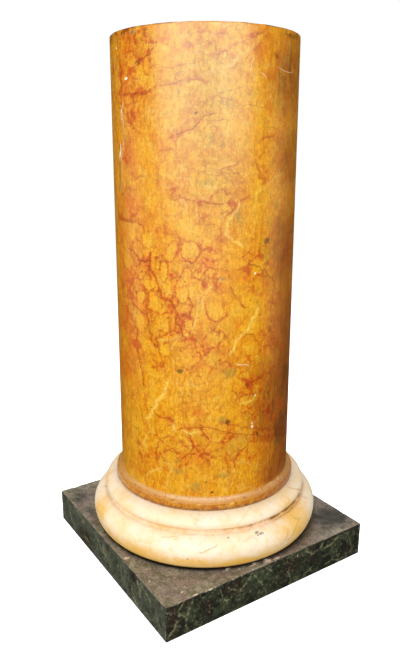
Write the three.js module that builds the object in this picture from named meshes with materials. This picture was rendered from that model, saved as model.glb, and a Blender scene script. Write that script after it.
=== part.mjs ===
// A painted metal column pedestal: a square plinth, a turned base moulding and a plain drum shaft.
// Millimetres, +Z up, origin at the middle of the plinth's underside.

import * as THREE from 'three';

// Driving dimensions
const TOTAL_HEIGHT = 1072;
const CONTACT_GAP = 0.3;
const ROUND_SEGMENTS = 88;

const PLINTH_SIDE = 500;
const PLINTH_HEIGHT = 75;
const PLINTH_CORNER_RADIUS = 4;
const PLINTH_EDGE_BEVEL = 1.5;

const TORUS_RADIUS = 248.6;
const TORUS_MIDDLE_HEIGHT = 37;
const TORUS_UNDER_DEPTH = 24;
const TORUS_OVER_DEPTH = 53;
const TORUS_OVER_HEIGHT = 39.6;
const TORUS_TOP_RADIUS = 224;

const ROLL_RADIUS = 221.5;
const ROLL_MIDDLE_HEIGHT = 86;
const ROLL_UNDER_DEPTH = 5;
const ROLL_UNDER_HEIGHT = 8;
const ROLL_OVER_DEPTH = 29.5;
const BASE_MOULDING_HEIGHT = 106;

const FILLET_RADIUS = 195.8;
const FILLET_HEIGHT = 14.7;
const FILLET_ARRIS = 0.8;
const COVE_HEIGHT = 12;
const SHAFT_FOOT_RADIUS = 183.6;
const SHAFT_TOP_RADIUS = 180;
const RIM_ARRIS = 1.2;

const SHAFT_PAINT = { color: 0xd9993a, roughness: 0.42, metalness: 0 };
const BASE_PAINT = { color: 0xf3e3c0, roughness: 0.45, metalness: 0 };
const PLINTH_PAINT = { color: 0x30352b, roughness: 0.5, metalness: 0 };

// Points on a part of an ellipse round (radius, height), from one angle to another in degrees.
function ellipseArc(radius, height, across, upright, fromDegrees, toDegrees, steps) {
  const points = [];
  for (let i = 0; i <= steps; i += 1) {
    const angle = THREE.MathUtils.degToRad(THREE.MathUtils.lerp(fromDegrees, toDegrees, i / steps));
    points.push(new THREE.Vector2(radius + across * Math.cos(angle), height + upright * Math.sin(angle)));
  }
  return points;
}

// A hollow between two points of a profile, bent towards a third.
function hollow(from, towards, to, steps) {
  return new THREE.QuadraticBezierCurve(from, towards, to).getPoints(steps).slice(1, -1);
}

// Turns a profile of (radius, height) points about the vertical axis; it starts and ends on the axis.
function turned(profile) {
  const lathe = new THREE.LatheGeometry(profile, ROUND_SEGMENTS);
  return lathe.rotateX(Math.PI / 2);
}

function piece(name, geometry, paint) {
  const mesh = new THREE.Mesh(geometry, new THREE.MeshStandardMaterial(paint));
  mesh.name = name;
  return mesh;
}

// The square slab with slightly rounded corners and softened edges.
function makePlinth() {
  const half = PLINTH_SIDE / 2 - PLINTH_EDGE_BEVEL;
  const straight = half - PLINTH_CORNER_RADIUS;
  const outline = new THREE.Shape();
  const centre = new THREE.Vector2(0, 0);
  for (const quarter of [0, 1, 2, 3]) {
    const start = quarter * Math.PI / 2;
    const corner = new THREE.Vector2(straight, straight).rotateAround(centre, start);
    outline.absarc(corner.x, corner.y, PLINTH_CORNER_RADIUS, start, start + Math.PI / 2, false);
  }
  outline.closePath();
  const slab = new THREE.ExtrudeGeometry(outline, {
    depth: PLINTH_HEIGHT - 2 * PLINTH_EDGE_BEVEL,
    curveSegments: 5,
    bevelEnabled: true,
    bevelThickness: PLINTH_EDGE_BEVEL,
    bevelSize: PLINTH_EDGE_BEVEL,
    bevelSegments: 2,
  });
  slab.translate(0, 0, PLINTH_EDGE_BEVEL);
  return piece('plinth', slab, PLINTH_PAINT);
}

// The large torus, a soft hollow, and the smaller roll that the shaft stands on.
function makeBaseMoulding() {
  const underside = PLINTH_HEIGHT + CONTACT_GAP;
  const top = PLINTH_HEIGHT + BASE_MOULDING_HEIGHT;
  const torusMiddle = PLINTH_HEIGHT + TORUS_MIDDLE_HEIGHT;
  const rollMiddle = PLINTH_HEIGHT + ROLL_MIDDLE_HEIGHT;
  const torusEnd = THREE.MathUtils.radToDeg(
    Math.acos((TORUS_TOP_RADIUS - TORUS_RADIUS + TORUS_OVER_DEPTH) / TORUS_OVER_DEPTH),
  );
  const torusUnder = ellipseArc(
    TORUS_RADIUS - TORUS_UNDER_DEPTH, torusMiddle,
    TORUS_UNDER_DEPTH, torusMiddle - underside, -90, 0, 6,
  );
  const torusOver = ellipseArc(
    TORUS_RADIUS - TORUS_OVER_DEPTH, torusMiddle,
    TORUS_OVER_DEPTH, TORUS_OVER_HEIGHT, 0, torusEnd, 7,
  );
  const rollUnder = ellipseArc(
    ROLL_RADIUS - ROLL_UNDER_DEPTH, rollMiddle,
    ROLL_UNDER_DEPTH, ROLL_UNDER_HEIGHT, -90, 0, 4,
  );
  const rollOver = ellipseArc(
    ROLL_RADIUS - ROLL_OVER_DEPTH, rollMiddle,
    ROLL_OVER_DEPTH, top - rollMiddle, 0, 90, 7,
  );
  const torusTop = torusOver[torusOver.length - 1];
  const rollFoot = rollUnder[0];
  const hollowBottom = new THREE.Vector2(rollFoot.x, torusTop.y);
  const profile = [
    new THREE.Vector2(0, underside),
    ...torusUnder,
    ...torusOver.slice(1),
    ...hollow(torusTop, hollowBottom, rollFoot, 4),
    ...rollUnder,
    ...rollOver.slice(1),
    new THREE.Vector2(0, top),
  ];
  return piece('base_moulding', turned(profile), BASE_PAINT);
}

// The drum: a narrow fillet and a small hollow at its foot, a slight taper, and a flat top.
function makeShaft() {
  const foot = PLINTH_HEIGHT + BASE_MOULDING_HEIGHT + CONTACT_GAP;
  const filletTop = foot + FILLET_HEIGHT;
  const coveStart = FILLET_RADIUS - FILLET_ARRIS;
  const cove = ellipseArc(
    coveStart, filletTop + COVE_HEIGHT,
    coveStart - SHAFT_FOOT_RADIUS, COVE_HEIGHT, 270, 180, 6,
  );
  const rim = ellipseArc(
    SHAFT_TOP_RADIUS - RIM_ARRIS, TOTAL_HEIGHT - RIM_ARRIS,
    RIM_ARRIS, RIM_ARRIS, 0, 90, 3,
  );
  const profile = [
    new THREE.Vector2(0, foot),
    new THREE.Vector2(coveStart, foot),
    new THREE.Vector2(FILLET_RADIUS, foot + FILLET_ARRIS),
    new THREE.Vector2(FILLET_RADIUS, filletTop - FILLET_ARRIS),
    ...cove,
    ...rim,
    new THREE.Vector2(0, TOTAL_HEIGHT),
  ];
  return piece('shaft', turned(profile), SHAFT_PAINT);
}

const pedestal = new THREE.Group();
pedestal.add(makePlinth(), makeBaseMoulding(), makeShaft());

export default pedestal;
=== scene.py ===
"""The looks of a painted metal column pedestal: three imitation marbles on a plinth, a base and a shaft.

Metres, +Z up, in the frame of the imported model. Every surface is a mesh made here, dense enough to carry
the painted veins as fields on its points, and a material that turns those fields into paint.
"""

import math

import bpy
import numpy as np
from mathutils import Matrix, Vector, noise


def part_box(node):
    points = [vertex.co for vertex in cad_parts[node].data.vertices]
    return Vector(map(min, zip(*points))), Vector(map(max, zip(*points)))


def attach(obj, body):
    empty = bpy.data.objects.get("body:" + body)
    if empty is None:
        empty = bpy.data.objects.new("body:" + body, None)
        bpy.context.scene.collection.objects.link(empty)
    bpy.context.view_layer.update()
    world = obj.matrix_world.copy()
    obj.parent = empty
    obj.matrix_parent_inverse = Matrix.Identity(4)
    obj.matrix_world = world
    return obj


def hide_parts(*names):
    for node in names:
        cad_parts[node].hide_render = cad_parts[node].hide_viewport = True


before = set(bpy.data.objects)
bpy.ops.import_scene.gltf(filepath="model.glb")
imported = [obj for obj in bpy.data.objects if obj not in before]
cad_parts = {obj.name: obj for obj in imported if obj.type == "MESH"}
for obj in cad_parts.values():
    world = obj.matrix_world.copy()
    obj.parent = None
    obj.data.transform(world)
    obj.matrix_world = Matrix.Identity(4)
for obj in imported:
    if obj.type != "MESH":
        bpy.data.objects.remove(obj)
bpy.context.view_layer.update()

MM = 0.001

# The photograph's camera, solved from the plinth's edges and the shaft's sides
PHOTO_HEIGHT = 665
PHOTO_CENTRE = (200.0, 332.0)
FOCAL_PIXELS = 636.6
CAMERA_REACH = 1.3146
CAMERA_HEIGHT = 0.862
CAMERA_TURN = math.radians(33.78)
CAMERA_DIP = math.radians(15.6)
CAMERA_SWING = math.radians(-0.41)
SENSOR = 36.0

# The turned outlines, as in the solids
PLINTH_LOW, PLINTH_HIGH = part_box("plinth")
BASE_LOW, BASE_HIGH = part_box("base_moulding")
SHAFT_LOW, SHAFT_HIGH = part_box("shaft")
TORUS_RADIUS = BASE_HIGH.x
TORUS_MIDDLE = PLINTH_HIGH.z + 37 * MM
TORUS_UNDER_DEPTH = 24 * MM
TORUS_OVER_DEPTH = 53 * MM
TORUS_OVER_HEIGHT = 39.6 * MM
TORUS_TOP_RADIUS = 224 * MM
ROLL_RADIUS = 221.5 * MM
ROLL_MIDDLE = PLINTH_HIGH.z + 86 * MM
ROLL_UNDER_DEPTH = 5 * MM
ROLL_UNDER_HEIGHT = 8 * MM
ROLL_OVER_DEPTH = 29.5 * MM
FILLET_RADIUS = SHAFT_HIGH.x
FILLET_HEIGHT = 14.7 * MM
FILLET_ARRIS = 0.8 * MM
COVE_HEIGHT = 12 * MM
SHAFT_FOOT_RADIUS = 183.6 * MM
SHAFT_TOP_RADIUS = 180 * MM
RIM_ARRIS = 1.2 * MM
COVE_TOP = SHAFT_LOW.z + FILLET_HEIGHT + COVE_HEIGHT

# How finely the turned pieces are meshed, and how the slab's faces are laid apart when unrolled
SHAFT_COLUMNS = 376
BASE_COLUMNS = 360
SHEET_STEP = 10.0

# One pixel of the photograph on the column, in mm, and the share of the column's round that is hidden on
# each side of its back
PIXEL_SIZE = 1.8
HIDDEN_SHARE = 0.27

# The studio
STUDIO_REACH = 30.0
LIT_HEIGHT = 0.6
SKY = 0.025

# How far from a stroke its field still counts, in mm and in half widths
FAR_MM = 40.0
FAR_SHARE = 12.0

# The least length of a stroke's step, and the least rise of one that isn't level, in metres
SHORTEST_STEP = 1e-6
LEVEL_RISE = 1e-9

# What keeps a point that the camera doesn't see from being the nearest, in pixels
HIDDEN_PENALTY = 1e6

WHITE = (1.0, 1.0, 1.0, 1.0)


def srgb(red, green, blue):
    """A colour given as it looks, 0 to 255, as the linear values that a shader takes."""
    def linear(value):
        value /= 255
        return value / 12.92 if value <= 0.04045 else ((value + 0.055) / 1.055) ** 2.4
    return (linear(red), linear(green), linear(blue), 1.0)


# Places in the photograph

def camera_axes():
    """The camera's place and its right, up and forward directions."""
    turn = CAMERA_TURN + CAMERA_SWING
    place = np.array([
        -CAMERA_REACH * math.sin(CAMERA_TURN),
        -CAMERA_REACH * math.cos(CAMERA_TURN),
        CAMERA_HEIGHT,
    ])
    forward = np.array([
        math.sin(turn) * math.cos(CAMERA_DIP),
        math.cos(turn) * math.cos(CAMERA_DIP),
        -math.sin(CAMERA_DIP),
    ])
    right = np.array([math.cos(turn), -math.sin(turn), 0.0])
    return place, right, np.cross(right, forward), forward


def photo_pixels(points):
    """Where points show in the photograph, as an array of (x, y) pixels."""
    place, right, up, forward = camera_axes()
    offset = points - place
    depth = offset @ forward
    x = PHOTO_CENTRE[0] + FOCAL_PIXELS * (offset @ right) / depth
    y = PHOTO_CENTRE[1] - FOCAL_PIXELS * (offset @ up) / depth
    return np.stack([x, y], -1)


def fractal(points, size, octaves=3, seed=0.0):
    """Smooth noise of about -1 to 1 on an array of points, with lumps of about the size given."""
    shift = Vector((seed * 17.3, seed * 5.9, seed * 11.1))
    scaled = points / size
    return np.array([noise.fractal(Vector(p) + shift, 1.0, 2.0, octaves) for p in scaled])


class Surface:
    """The points of a piece, unrolled to flat coordinates (across, along) in metres."""

    def __init__(self, points, normals, across, along, round_length):
        self.points = points
        self.normals = normals
        self.radius = np.hypot(points[:, 0], points[:, 1])
        self.across = across
        self.along = along
        self.round_length = round_length
        place = camera_axes()[0]
        self.pixels = photo_pixels(points)
        self.hidden = np.einsum("ij,ij->i", place - points, normals) <= 0

    def nearest(self, pixel):
        """The number of the point that shows nearest to a pixel of the photograph."""
        distance = np.hypot(self.pixels[:, 0] - pixel[0], self.pixels[:, 1] - pixel[1])
        return int(np.argmin(distance + HIDDEN_PENALTY * self.hidden))

    def spot(self, pixel):
        """The unrolled place of that point."""
        nearest = self.nearest(pixel)
        return self.across[nearest], self.along[nearest]

    def from_place(self, place, shake=None):
        """How far every point lies from a place, the short way round."""
        across = self.across - place[0]
        along = self.along - place[1]
        if shake is not None:
            across = across + shake[0]
            along = along + shake[1]
        if self.round_length:
            across = (across + self.round_length / 2) % self.round_length - self.round_length / 2
        return across, along

    def shake(self, reach, size, seed):
        """Small noisy moves that make a straight stroke waver."""
        return (
            fractal(self.points, size, 3, seed) * reach,
            fractal(self.points, size, 3, seed + 3.0) * reach,
        )


def wrapped_step(surface, start, end):
    step = np.array([end[0] - start[0], end[1] - start[1]])
    if surface.round_length:
        half = surface.round_length / 2
        step[0] = (step[0] + half) % surface.round_length - half
    return step


def from_segment(surface, start, end, shake):
    """Every point's distance in millimetres from a straight segment, and the side on which it lies."""
    step = wrapped_step(surface, start, end)
    length = max(float(np.hypot(*step)), SHORTEST_STEP)
    across, along = surface.from_place(start, shake)
    share = np.clip((across * step[0] + along * step[1]) / length**2, 0, 1)
    away = np.hypot(across - share * step[0], along - share * step[1]) / MM
    side = np.where(step[0] * along - step[1] * across < 0, -1.0, 1.0)
    return away, side


def stroke_field(surface, strokes, shake):
    """For every point: the signed distance to the nearest stroke, as a share of that stroke's half width,
    then the stroke's strength and the distance in millimetres.

    A stroke is (half width in mm, strength, places). The sign changes across a stroke, so that a line finer
    than the mesh stays sharp between its points.
    """
    count = len(surface.points)
    nearest = np.full(count, FAR_MM)
    signed = np.full(count, FAR_SHARE)
    strength = np.zeros(count)
    distance = np.full(count, FAR_MM)
    for half_width, amount, places in strokes:
        for start, end in zip(places, places[1:]):
            away, side = from_segment(surface, start, end, shake)
            closer = away - half_width < nearest
            nearest[closer] = (away - half_width)[closer]
            signed[closer] = (side * away / half_width)[closer]
            strength[closer] = amount
            distance[closer] = away[closer]
    return np.stack([np.clip(signed, -FAR_SHARE, FAR_SHARE), strength, distance], -1)


def cell_field(surface, cells, shake):
    """Signed distance in millimetres to the nearest closed outline, below zero inside it."""
    nearest = np.full(len(surface.points), FAR_MM)
    inside = np.zeros(len(surface.points), bool)
    for places in cells:
        within = np.zeros(len(surface.points), bool)
        for start, end in zip(places, places[1:] + places[:1]):
            away, _ = from_segment(surface, start, end, shake)
            nearest = np.minimum(nearest, away)
            rise = wrapped_step(surface, start, end)
            if abs(rise[1]) > LEVEL_RISE:
                across, along = surface.from_place(start, shake)
                level = along / rise[1]
                within ^= (level > 0) & (level <= 1) & (across < level * rise[0])
        inside |= within
    return np.where(inside, -nearest, nearest)


def patch_field(surface, patches, shake):
    """The strongest of a list of soft patches, each (place, half width mm, half height mm, amount)."""
    field = np.zeros(len(surface.points))
    for place, wide, tall, amount in patches:
        across, along = surface.from_place(place, shake)
        away = (across / (wide * MM)) ** 2 + (along / (tall * MM)) ** 2
        field = np.maximum(field, amount * np.exp(-away))
    return field


def add_field(mesh, name, values):
    kind = "FLOAT" if values.ndim == 1 else "FLOAT_VECTOR"
    attribute = mesh.attributes.new(name, kind, "POINT")
    slot = "value" if values.ndim == 1 else "vector"
    attribute.data.foreach_set(slot, values.astype(np.float32).ravel())


# Meshes

def ellipse_arc(radius, height, across, upright, start, end, steps):
    """Points (radius, height) along part of an ellipse, from one angle to another in degrees."""
    angles = np.radians(np.linspace(start, end, steps + 1))
    return [(radius + across * math.cos(a), height + upright * math.sin(a)) for a in angles]


def bent(start, towards, end, steps):
    """Points of a curve from start to end, bent towards a third, without its ends."""
    shares = np.linspace(0, 1, steps + 1)[1:-1]
    return [
        tuple(
            (1 - t) ** 2 * start[i] + 2 * t * (1 - t) * towards[i] + t**2 * end[i]
            for i in (0, 1)
        )
        for t in shares
    ]


def straight(start, end, steps):
    """Points between two places of a profile, with the end but without the start."""
    shares = np.linspace(0, 1, steps + 1)[1:]
    return [tuple(start[i] + t * (end[i] - start[i]) for i in (0, 1)) for t in shares]


def mesh_object(name, points, faces, smooth=True):
    mesh = bpy.data.meshes.new(name)
    mesh.from_pydata([tuple(p) for p in points], [], faces)
    mesh.validate()
    if smooth:
        mesh.shade_smooth()
    thing = bpy.data.objects.new(name, mesh)
    bpy.context.collection.objects.link(thing)
    return thing


def turned_object(name, profile, columns):
    """Turns a profile that ends on the axis. Returns the object and its points' angles and rows."""
    rings = profile[1:-1]
    angles = np.arange(columns) * 2 * math.pi / columns
    radius = np.repeat([r for r, _ in rings], columns)
    height = np.repeat([z for _, z in rings], columns)
    around = np.tile(angles, len(rings))
    body = np.stack([radius * np.cos(around), radius * np.sin(around), height], -1)
    points = np.concatenate([body, [[0, 0, profile[0][1]], [0, 0, profile[-1][1]]]])
    faces = []
    for ring in range(len(rings) - 1):
        low = ring * columns
        for column in range(columns):
            following = (column + 1) % columns
            faces.append((low + column, low + following, low + columns + following, low + columns + column))
    bottom, top = len(body), len(body) + 1
    last = (len(rings) - 1) * columns
    for column in range(columns):
        following = (column + 1) % columns
        faces.append((bottom, following, column))
        faces.append((top, last + column, last + following))
    row = np.concatenate([np.repeat(np.arange(len(rings)), columns), [0, len(rings) - 1]])
    angle = np.concatenate([around, [0, 0]])
    return mesh_object(name, points, faces), angle, row


def profile_lengths(profile):
    """Distance along a profile at each of its rings."""
    rings = np.array(profile[1:-1])
    steps = np.hypot(*np.diff(rings, axis=0).T)
    return np.concatenate([[0], np.cumsum(steps)])


def point_arrays(mesh):
    points = np.empty(len(mesh.vertices) * 3)
    normals = np.empty(len(mesh.vertices) * 3)
    mesh.vertices.foreach_get("co", points)
    mesh.vertices.foreach_get("normal", normals)
    return points.reshape(-1, 3), normals.reshape(-1, 3)


def turned_surface(thing, profile, angle, row, radius):
    """The unrolled surface of a turned piece, with the seam at the back."""
    points, normals = point_arrays(thing.data)
    back = math.pi / 2 - CAMERA_TURN
    turn = (angle - back) % (2 * math.pi)
    along = profile_lengths(profile)[row]
    return Surface(points, normals, turn * radius, along, 2 * math.pi * radius)


def base_profile():
    top = BASE_HIGH.z
    foot = BASE_LOW.z
    left_over = (TORUS_TOP_RADIUS - TORUS_RADIUS + TORUS_OVER_DEPTH) / TORUS_OVER_DEPTH
    torus_end = math.degrees(math.acos(left_over))
    torus_under, torus_over, roll_under, roll_over = (
        ellipse_arc(radius - across, middle, across, upright, start, end, steps)
        for radius, middle, across, upright, start, end, steps in (
            (TORUS_RADIUS, TORUS_MIDDLE, TORUS_UNDER_DEPTH, TORUS_MIDDLE - foot, -90, 0, 24),
            (TORUS_RADIUS, TORUS_MIDDLE, TORUS_OVER_DEPTH, TORUS_OVER_HEIGHT, 0, torus_end, 26),
            (ROLL_RADIUS, ROLL_MIDDLE, ROLL_UNDER_DEPTH, ROLL_UNDER_HEIGHT, -90, 0, 8),
            (ROLL_RADIUS, ROLL_MIDDLE, ROLL_OVER_DEPTH, top - ROLL_MIDDLE, 0, 90, 24),
        )
    )
    hollow = bent(torus_over[-1], (roll_under[0][0], torus_over[-1][1]), roll_under[0], 10)
    under = [(0, foot)] + [(r * MM, foot) for r in (60, 120, 180, 215)]
    over = [(r * MM, top) for r in (188, 150, 100, 50)] + [(0, top)]
    return under + torus_under + torus_over[1:] + hollow + roll_under + roll_over[1:] + over


def shaft_profile():
    foot = SHAFT_LOW.z
    top = SHAFT_HIGH.z
    fillet_top = foot + FILLET_HEIGHT
    cove_start = FILLET_RADIUS - FILLET_ARRIS
    arris_under = ellipse_arc(cove_start, foot + FILLET_ARRIS, FILLET_ARRIS, FILLET_ARRIS, -90, 0, 3)
    arris_over = ellipse_arc(cove_start, fillet_top - FILLET_ARRIS, FILLET_ARRIS, FILLET_ARRIS, 0, 90, 3)
    fillet = straight(arris_under[-1], arris_over[0], 7)
    cove = ellipse_arc(
        cove_start, fillet_top + COVE_HEIGHT, cove_start - SHAFT_FOOT_RADIUS, COVE_HEIGHT, 270, 180, 10
    )
    rim = ellipse_arc(SHAFT_TOP_RADIUS - RIM_ARRIS, top - RIM_ARRIS, RIM_ARRIS, RIM_ARRIS, 0, 90, 4)
    body = straight(cove[-1], rim[0], 226)
    under = [(0, foot)] + [(r * MM, foot) for r in (60, 120, 170, 190)]
    over = [(r * MM, top) for r in (176, 165, 140, 100, 50)] + [(0, top)]
    return under + arris_under + fillet + arris_over[1:] + cove[1:] + body + rim[1:] + over


def graded(low, high, edge, fine, coarse):
    """Places from low to high, closely spaced near both ends."""
    near = np.arange(0, edge, fine)
    inner = np.linspace(low + edge, high - edge, max(2, int(round((high - low - 2 * edge) / coarse)) + 1))
    return np.concatenate([low + near, inner, high - near[::-1]])


def slab_object(name, low, high, edge_radius):
    """A square slab with rounded edges, closely meshed along them."""
    spacing = [graded(low[i], high[i], 9 * MM, 1.1 * MM, (4.4 if i < 2 else 2.4) * MM) for i in range(3)]
    index = {}
    points = []
    faces = []

    def corner(key):
        if key not in index:
            index[key] = len(points)
            points.append([spacing[i][key[i]] for i in range(3)])
        return index[key]

    for axis in range(3):
        first, second = [i for i in range(3) if i != axis]
        for end in (0, len(spacing[axis]) - 1):
            for i in range(len(spacing[first]) - 1):
                for j in range(len(spacing[second]) - 1):
                    loop = []
                    for di, dj in ((0, 0), (1, 0), (1, 1), (0, 1)):
                        key = [0, 0, 0]
                        key[axis], key[first], key[second] = end, i + di, j + dj
                        loop.append(corner(tuple(key)))
                    outward = (end > 0) == (axis != 1)
                    faces.append(loop if outward else loop[::-1])
    points = np.array(points)
    inner = np.clip(points, np.array(low) + edge_radius, np.array(high) - edge_radius)
    away = points - inner
    length = np.maximum(np.linalg.norm(away, axis=1, keepdims=True), 1e-9)
    return mesh_object(name, inner + away / length * edge_radius, faces)


# Wear in the shapes

def dents(surface, marks):
    """How deep each point lies in a list of round dents, each (pixel, radius mm, depth mm)."""
    depth = np.zeros(len(surface.points))
    for pixel, radius, deep in marks:
        middle = surface.points[surface.nearest(pixel)]
        away = np.linalg.norm(surface.points - middle, axis=1) / (radius * MM)
        depth = np.maximum(depth, deep * MM * np.exp(-(away**4)))
    return depth


def unevenness(points, size, reach, seed):
    """Hollows of noise, never above the surface, with lumps of about the size given."""
    return np.clip(0.5 + 0.5 * fractal(points, size, 3, seed), 0, 1) * reach


def push_in(mesh, surface, depth):
    """Moves every point inward along its normal, which keeps the piece inside its solid."""
    moved = surface.points - surface.normals * depth[:, None]
    mesh.vertices.foreach_set("co", moved.ravel())
    mesh.update()


# Materials

PAINT_IOR = 1.5
VARNISH_IOR = 1.84


class Value:
    """What a node gives, a number or a vector. Sums made with it add further nodes."""

    def __init__(self, paint, socket):
        self.paint = paint
        self.socket = socket

    def __add__(self, other):
        return self.paint.math("ADD", self, other)

    def __sub__(self, other):
        return self.paint.math("SUBTRACT", self, other)

    def __rsub__(self, other):
        return self.paint.math("SUBTRACT", other, self)

    def __mul__(self, other):
        return self.paint.math("MULTIPLY", self, other)

    def __abs__(self):
        return self.paint.math("ABSOLUTE", self)

    def most(self, other):
        return self.paint.math("MAXIMUM", self, other)

    def between(self, low, high, start=0.0, end=1.0):
        """A smooth change from start to end while the value goes from low to high."""
        sockets = dict(enumerate((self, low, high, start, end)))
        return self.paint.add("ShaderNodeMapRange", sockets, interpolation_type="SMOOTHSTEP")

    def ridge(self, width):
        """One where noise passes its middle, none away from it: a thin wandering line."""
        return abs(self - 0.5).between(0.0, width, 1.0, 0.0)

    def parts(self):
        """The x, y and z of a vector."""
        outputs = self.paint.node("ShaderNodeSeparateXYZ", {0: self}).outputs
        return [Value(self.paint, output) for output in outputs]


class Paint:
    """One material's nodes."""

    def __init__(self, name):
        self.material = bpy.data.materials.new(name)
        self.material.use_nodes = True
        self.tree = self.material.node_tree
        self.tree.nodes.clear()
        self.place = self.add("ShaderNodeTexCoord", {}, "Object")

    def node(self, kind, sockets, **settings):
        """A new node, with its settings and with what its sockets take: other nodes' values, or numbers."""
        node = self.tree.nodes.new(kind)
        for key, setting in settings.items():
            setattr(node, key, setting)
        for key, value in sockets.items():
            if isinstance(value, Value):
                self.tree.links.new(value.socket, node.inputs[key])
            else:
                node.inputs[key].default_value = value
        return node

    def add(self, kind, sockets, output=0, **settings):
        """One output of a new node."""
        return Value(self, self.node(kind, sockets, **settings).outputs[output])

    def math(self, operation, *values):
        return self.add("ShaderNodeMath", dict(enumerate(values)), operation=operation)

    def vector_math(self, operation, sockets):
        return self.add("ShaderNodeVectorMath", sockets, operation=operation)

    def stretched(self, scale):
        return self.add("ShaderNodeMapping", {"Vector": self.place, "Scale": scale})

    def noise(self, size, detail, rough, place=None, seed=0.0, output="Fac"):
        """Noise of 0 to 1 with lumps of about the size given, in metres."""
        sockets = {"W": seed, "Scale": 1 / size, "Detail": detail, "Roughness": rough}
        sockets["Vector"] = place or self.place
        return self.add("ShaderNodeTexNoise", sockets, output, noise_dimensions="4D")

    def swirl(self, size, reach, seed=0.0, place=None):
        """The place, moved about by noise of a size, as far as reach."""
        colour = self.noise(size, 3, 0.5, place, seed, "Color")
        centred = self.vector_math("SUBTRACT", {0: colour, 1: (0.5, 0.5, 0.5)})
        scaled = self.vector_math("SCALE", {0: centred, "Scale": reach * 2})
        return self.vector_math("ADD", {0: place or self.place, 1: scaled})

    def cells(self, size, place, feature="DISTANCE_TO_EDGE", output="Distance"):
        sockets = {"Vector": place, "Scale": 1 / size}
        return self.add("ShaderNodeTexVoronoi", sockets, output, feature=feature)

    def stones(self, size, place):
        """Three numbers of 0 to 1, the same all over each cell."""
        return self.cells(size, place, "F1", "Color").parts()

    def amount(self, name, output="Fac"):
        """A field on the points."""
        return self.add("ShaderNodeAttribute", {}, output, attribute_name=name)

    def normal(self):
        """The x, y and z of the way that the surface faces."""
        return self.add("ShaderNodeNewGeometry", {}, "Normal").parts()

    def over(self, base, colour, amount, blend="MIX"):
        """A colour laid over a base by an amount of 0 to 1. Where it multiplies, it is a clear glaze."""
        sockets = {0: amount, 6: base, 7: colour}
        return self.add("ShaderNodeMix", sockets, 2, data_type="RGBA", blend_type=blend)

    def layered(self, base, *layers):
        """A base under layers of paint, from the first to the last, each (colour, amount)."""
        for layer in layers:
            base = self.over(base, *layer)
        return base

    def shade(self, base, value):
        """A base made lighter or darker by a factor."""
        return self.vector_math("SCALE", {0: base, "Scale": value})

    def stroke_mask(self, name, wobble, soft):
        """Paint along the strokes of a field: 1 on a stroke, 0 beside it."""
        signed, strength, distance = self.amount(name, "Vector").parts()
        line = abs(signed + wobble).between(1 - soft, 1 + soft, 1.0, 0.0)
        near = distance.between(4.5, 6.0, 1.0, 0.0)
        return line * near * strength

    def stroke_halo(self, name, reach):
        """A soft stain on both sides of the strokes, as far as reach in millimetres."""
        _, strength, distance = self.amount(name, "Vector").parts()
        return distance.between(0.5, reach, 1.0, 0.0) * strength

    def finish(self, colour, roughness, height, bump, depth, gloss=0.5, coat=0.0, coat_roughness=0.3):
        """The varnished surface, with a bump that follows height."""
        sockets = {"Strength": bump, "Distance": depth, "Height": height}
        relief = self.add("ShaderNodeBump", sockets, "Normal")
        shader = self.add("ShaderNodeBsdfPrincipled", {
            "Base Color": colour, "Roughness": roughness, "Normal": relief, "IOR": PAINT_IOR,
            "Specular IOR Level": gloss, "Coat IOR": VARNISH_IOR, "Coat Weight": coat,
            "Coat Roughness": coat_roughness,
        }, "BSDF")
        self.node("ShaderNodeOutputMaterial", {"Surface": shader})
        return self.material


# Placing what is painted

def half_span(surface, first, last, pixels, axis):
    """Half the way on the surface between two pixels in mm. Where an edge lies between them, the size of a
    plain pixel times their number."""
    half = abs(wrapped_step(surface, surface.spot(first), surface.spot(last))[axis]) / 2 / MM
    plain = PIXEL_SIZE * pixels
    return half if half < plain * 4 else plain


def spots(surface, features):
    """Features given by pixels, as the same features by places and sizes in mm on the surface."""
    made = []
    for x, y, wide, tall, amount in features:
        least = PIXEL_SIZE * min(wide, tall)
        half_width = max(half_span(surface, (x - wide, y), (x + wide, y), wide, 0), least)
        half_height = max(half_span(surface, (x, y - tall), (x, y + tall), tall, 1), least)
        made.append((surface.spot((x, y)), half_width, half_height, amount))
    return made


def routes(surface, strokes):
    """Strokes given by pixels, as the same strokes by places on the surface."""
    return [(width, amount, [surface.spot(p) for p in pixels]) for width, amount, pixels in strokes]


def wandering(random, surface, count, half_width, strength, step, turn, bend):
    """Strokes for the side that the photograph doesn't show, each a short wandering walk."""
    made = []
    around = surface.round_length
    top = float(surface.along.max())
    for _ in range(count):
        across = random.uniform(-HIDDEN_SHARE, HIDDEN_SHARE) * around
        along = random.uniform(0.05, 0.95) * top
        heading = random.normal(turn, 0.5)
        places = [(across % around, along)]
        for _ in range(random.integers(3, 8)):
            heading += random.normal(0, bend)
            across += math.cos(heading) * step
            along += math.sin(heading) * step
            if abs(across) > HIDDEN_SHARE * around:
                break
            places.append((across % around, min(max(along, 0.0), top)))
        width = half_width * random.uniform(0.6, 1.4)
        made.append((width, strength * random.uniform(0.6, 1.0), places))
    return [stroke for stroke in made if len(stroke[2]) > 1]


def scattered(random, surface, count, low, high, amount):
    """Clouds for the side that the photograph doesn't show, of sizes between two in mm."""
    made = []
    around = surface.round_length
    top = float(surface.along.max())
    for _ in range(count):
        across = random.uniform(-HIDDEN_SHARE, HIDDEN_SHARE) * around
        place = (across % around, random.uniform(0.02, 0.98) * top)
        wide = random.uniform(low, high)
        made.append((place, wide, wide * random.uniform(0.6, 1.6), amount * random.uniform(0.6, 1.0)))
    return made


# The painted features of the shaft, each at the pixels of the photograph where it shows

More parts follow.
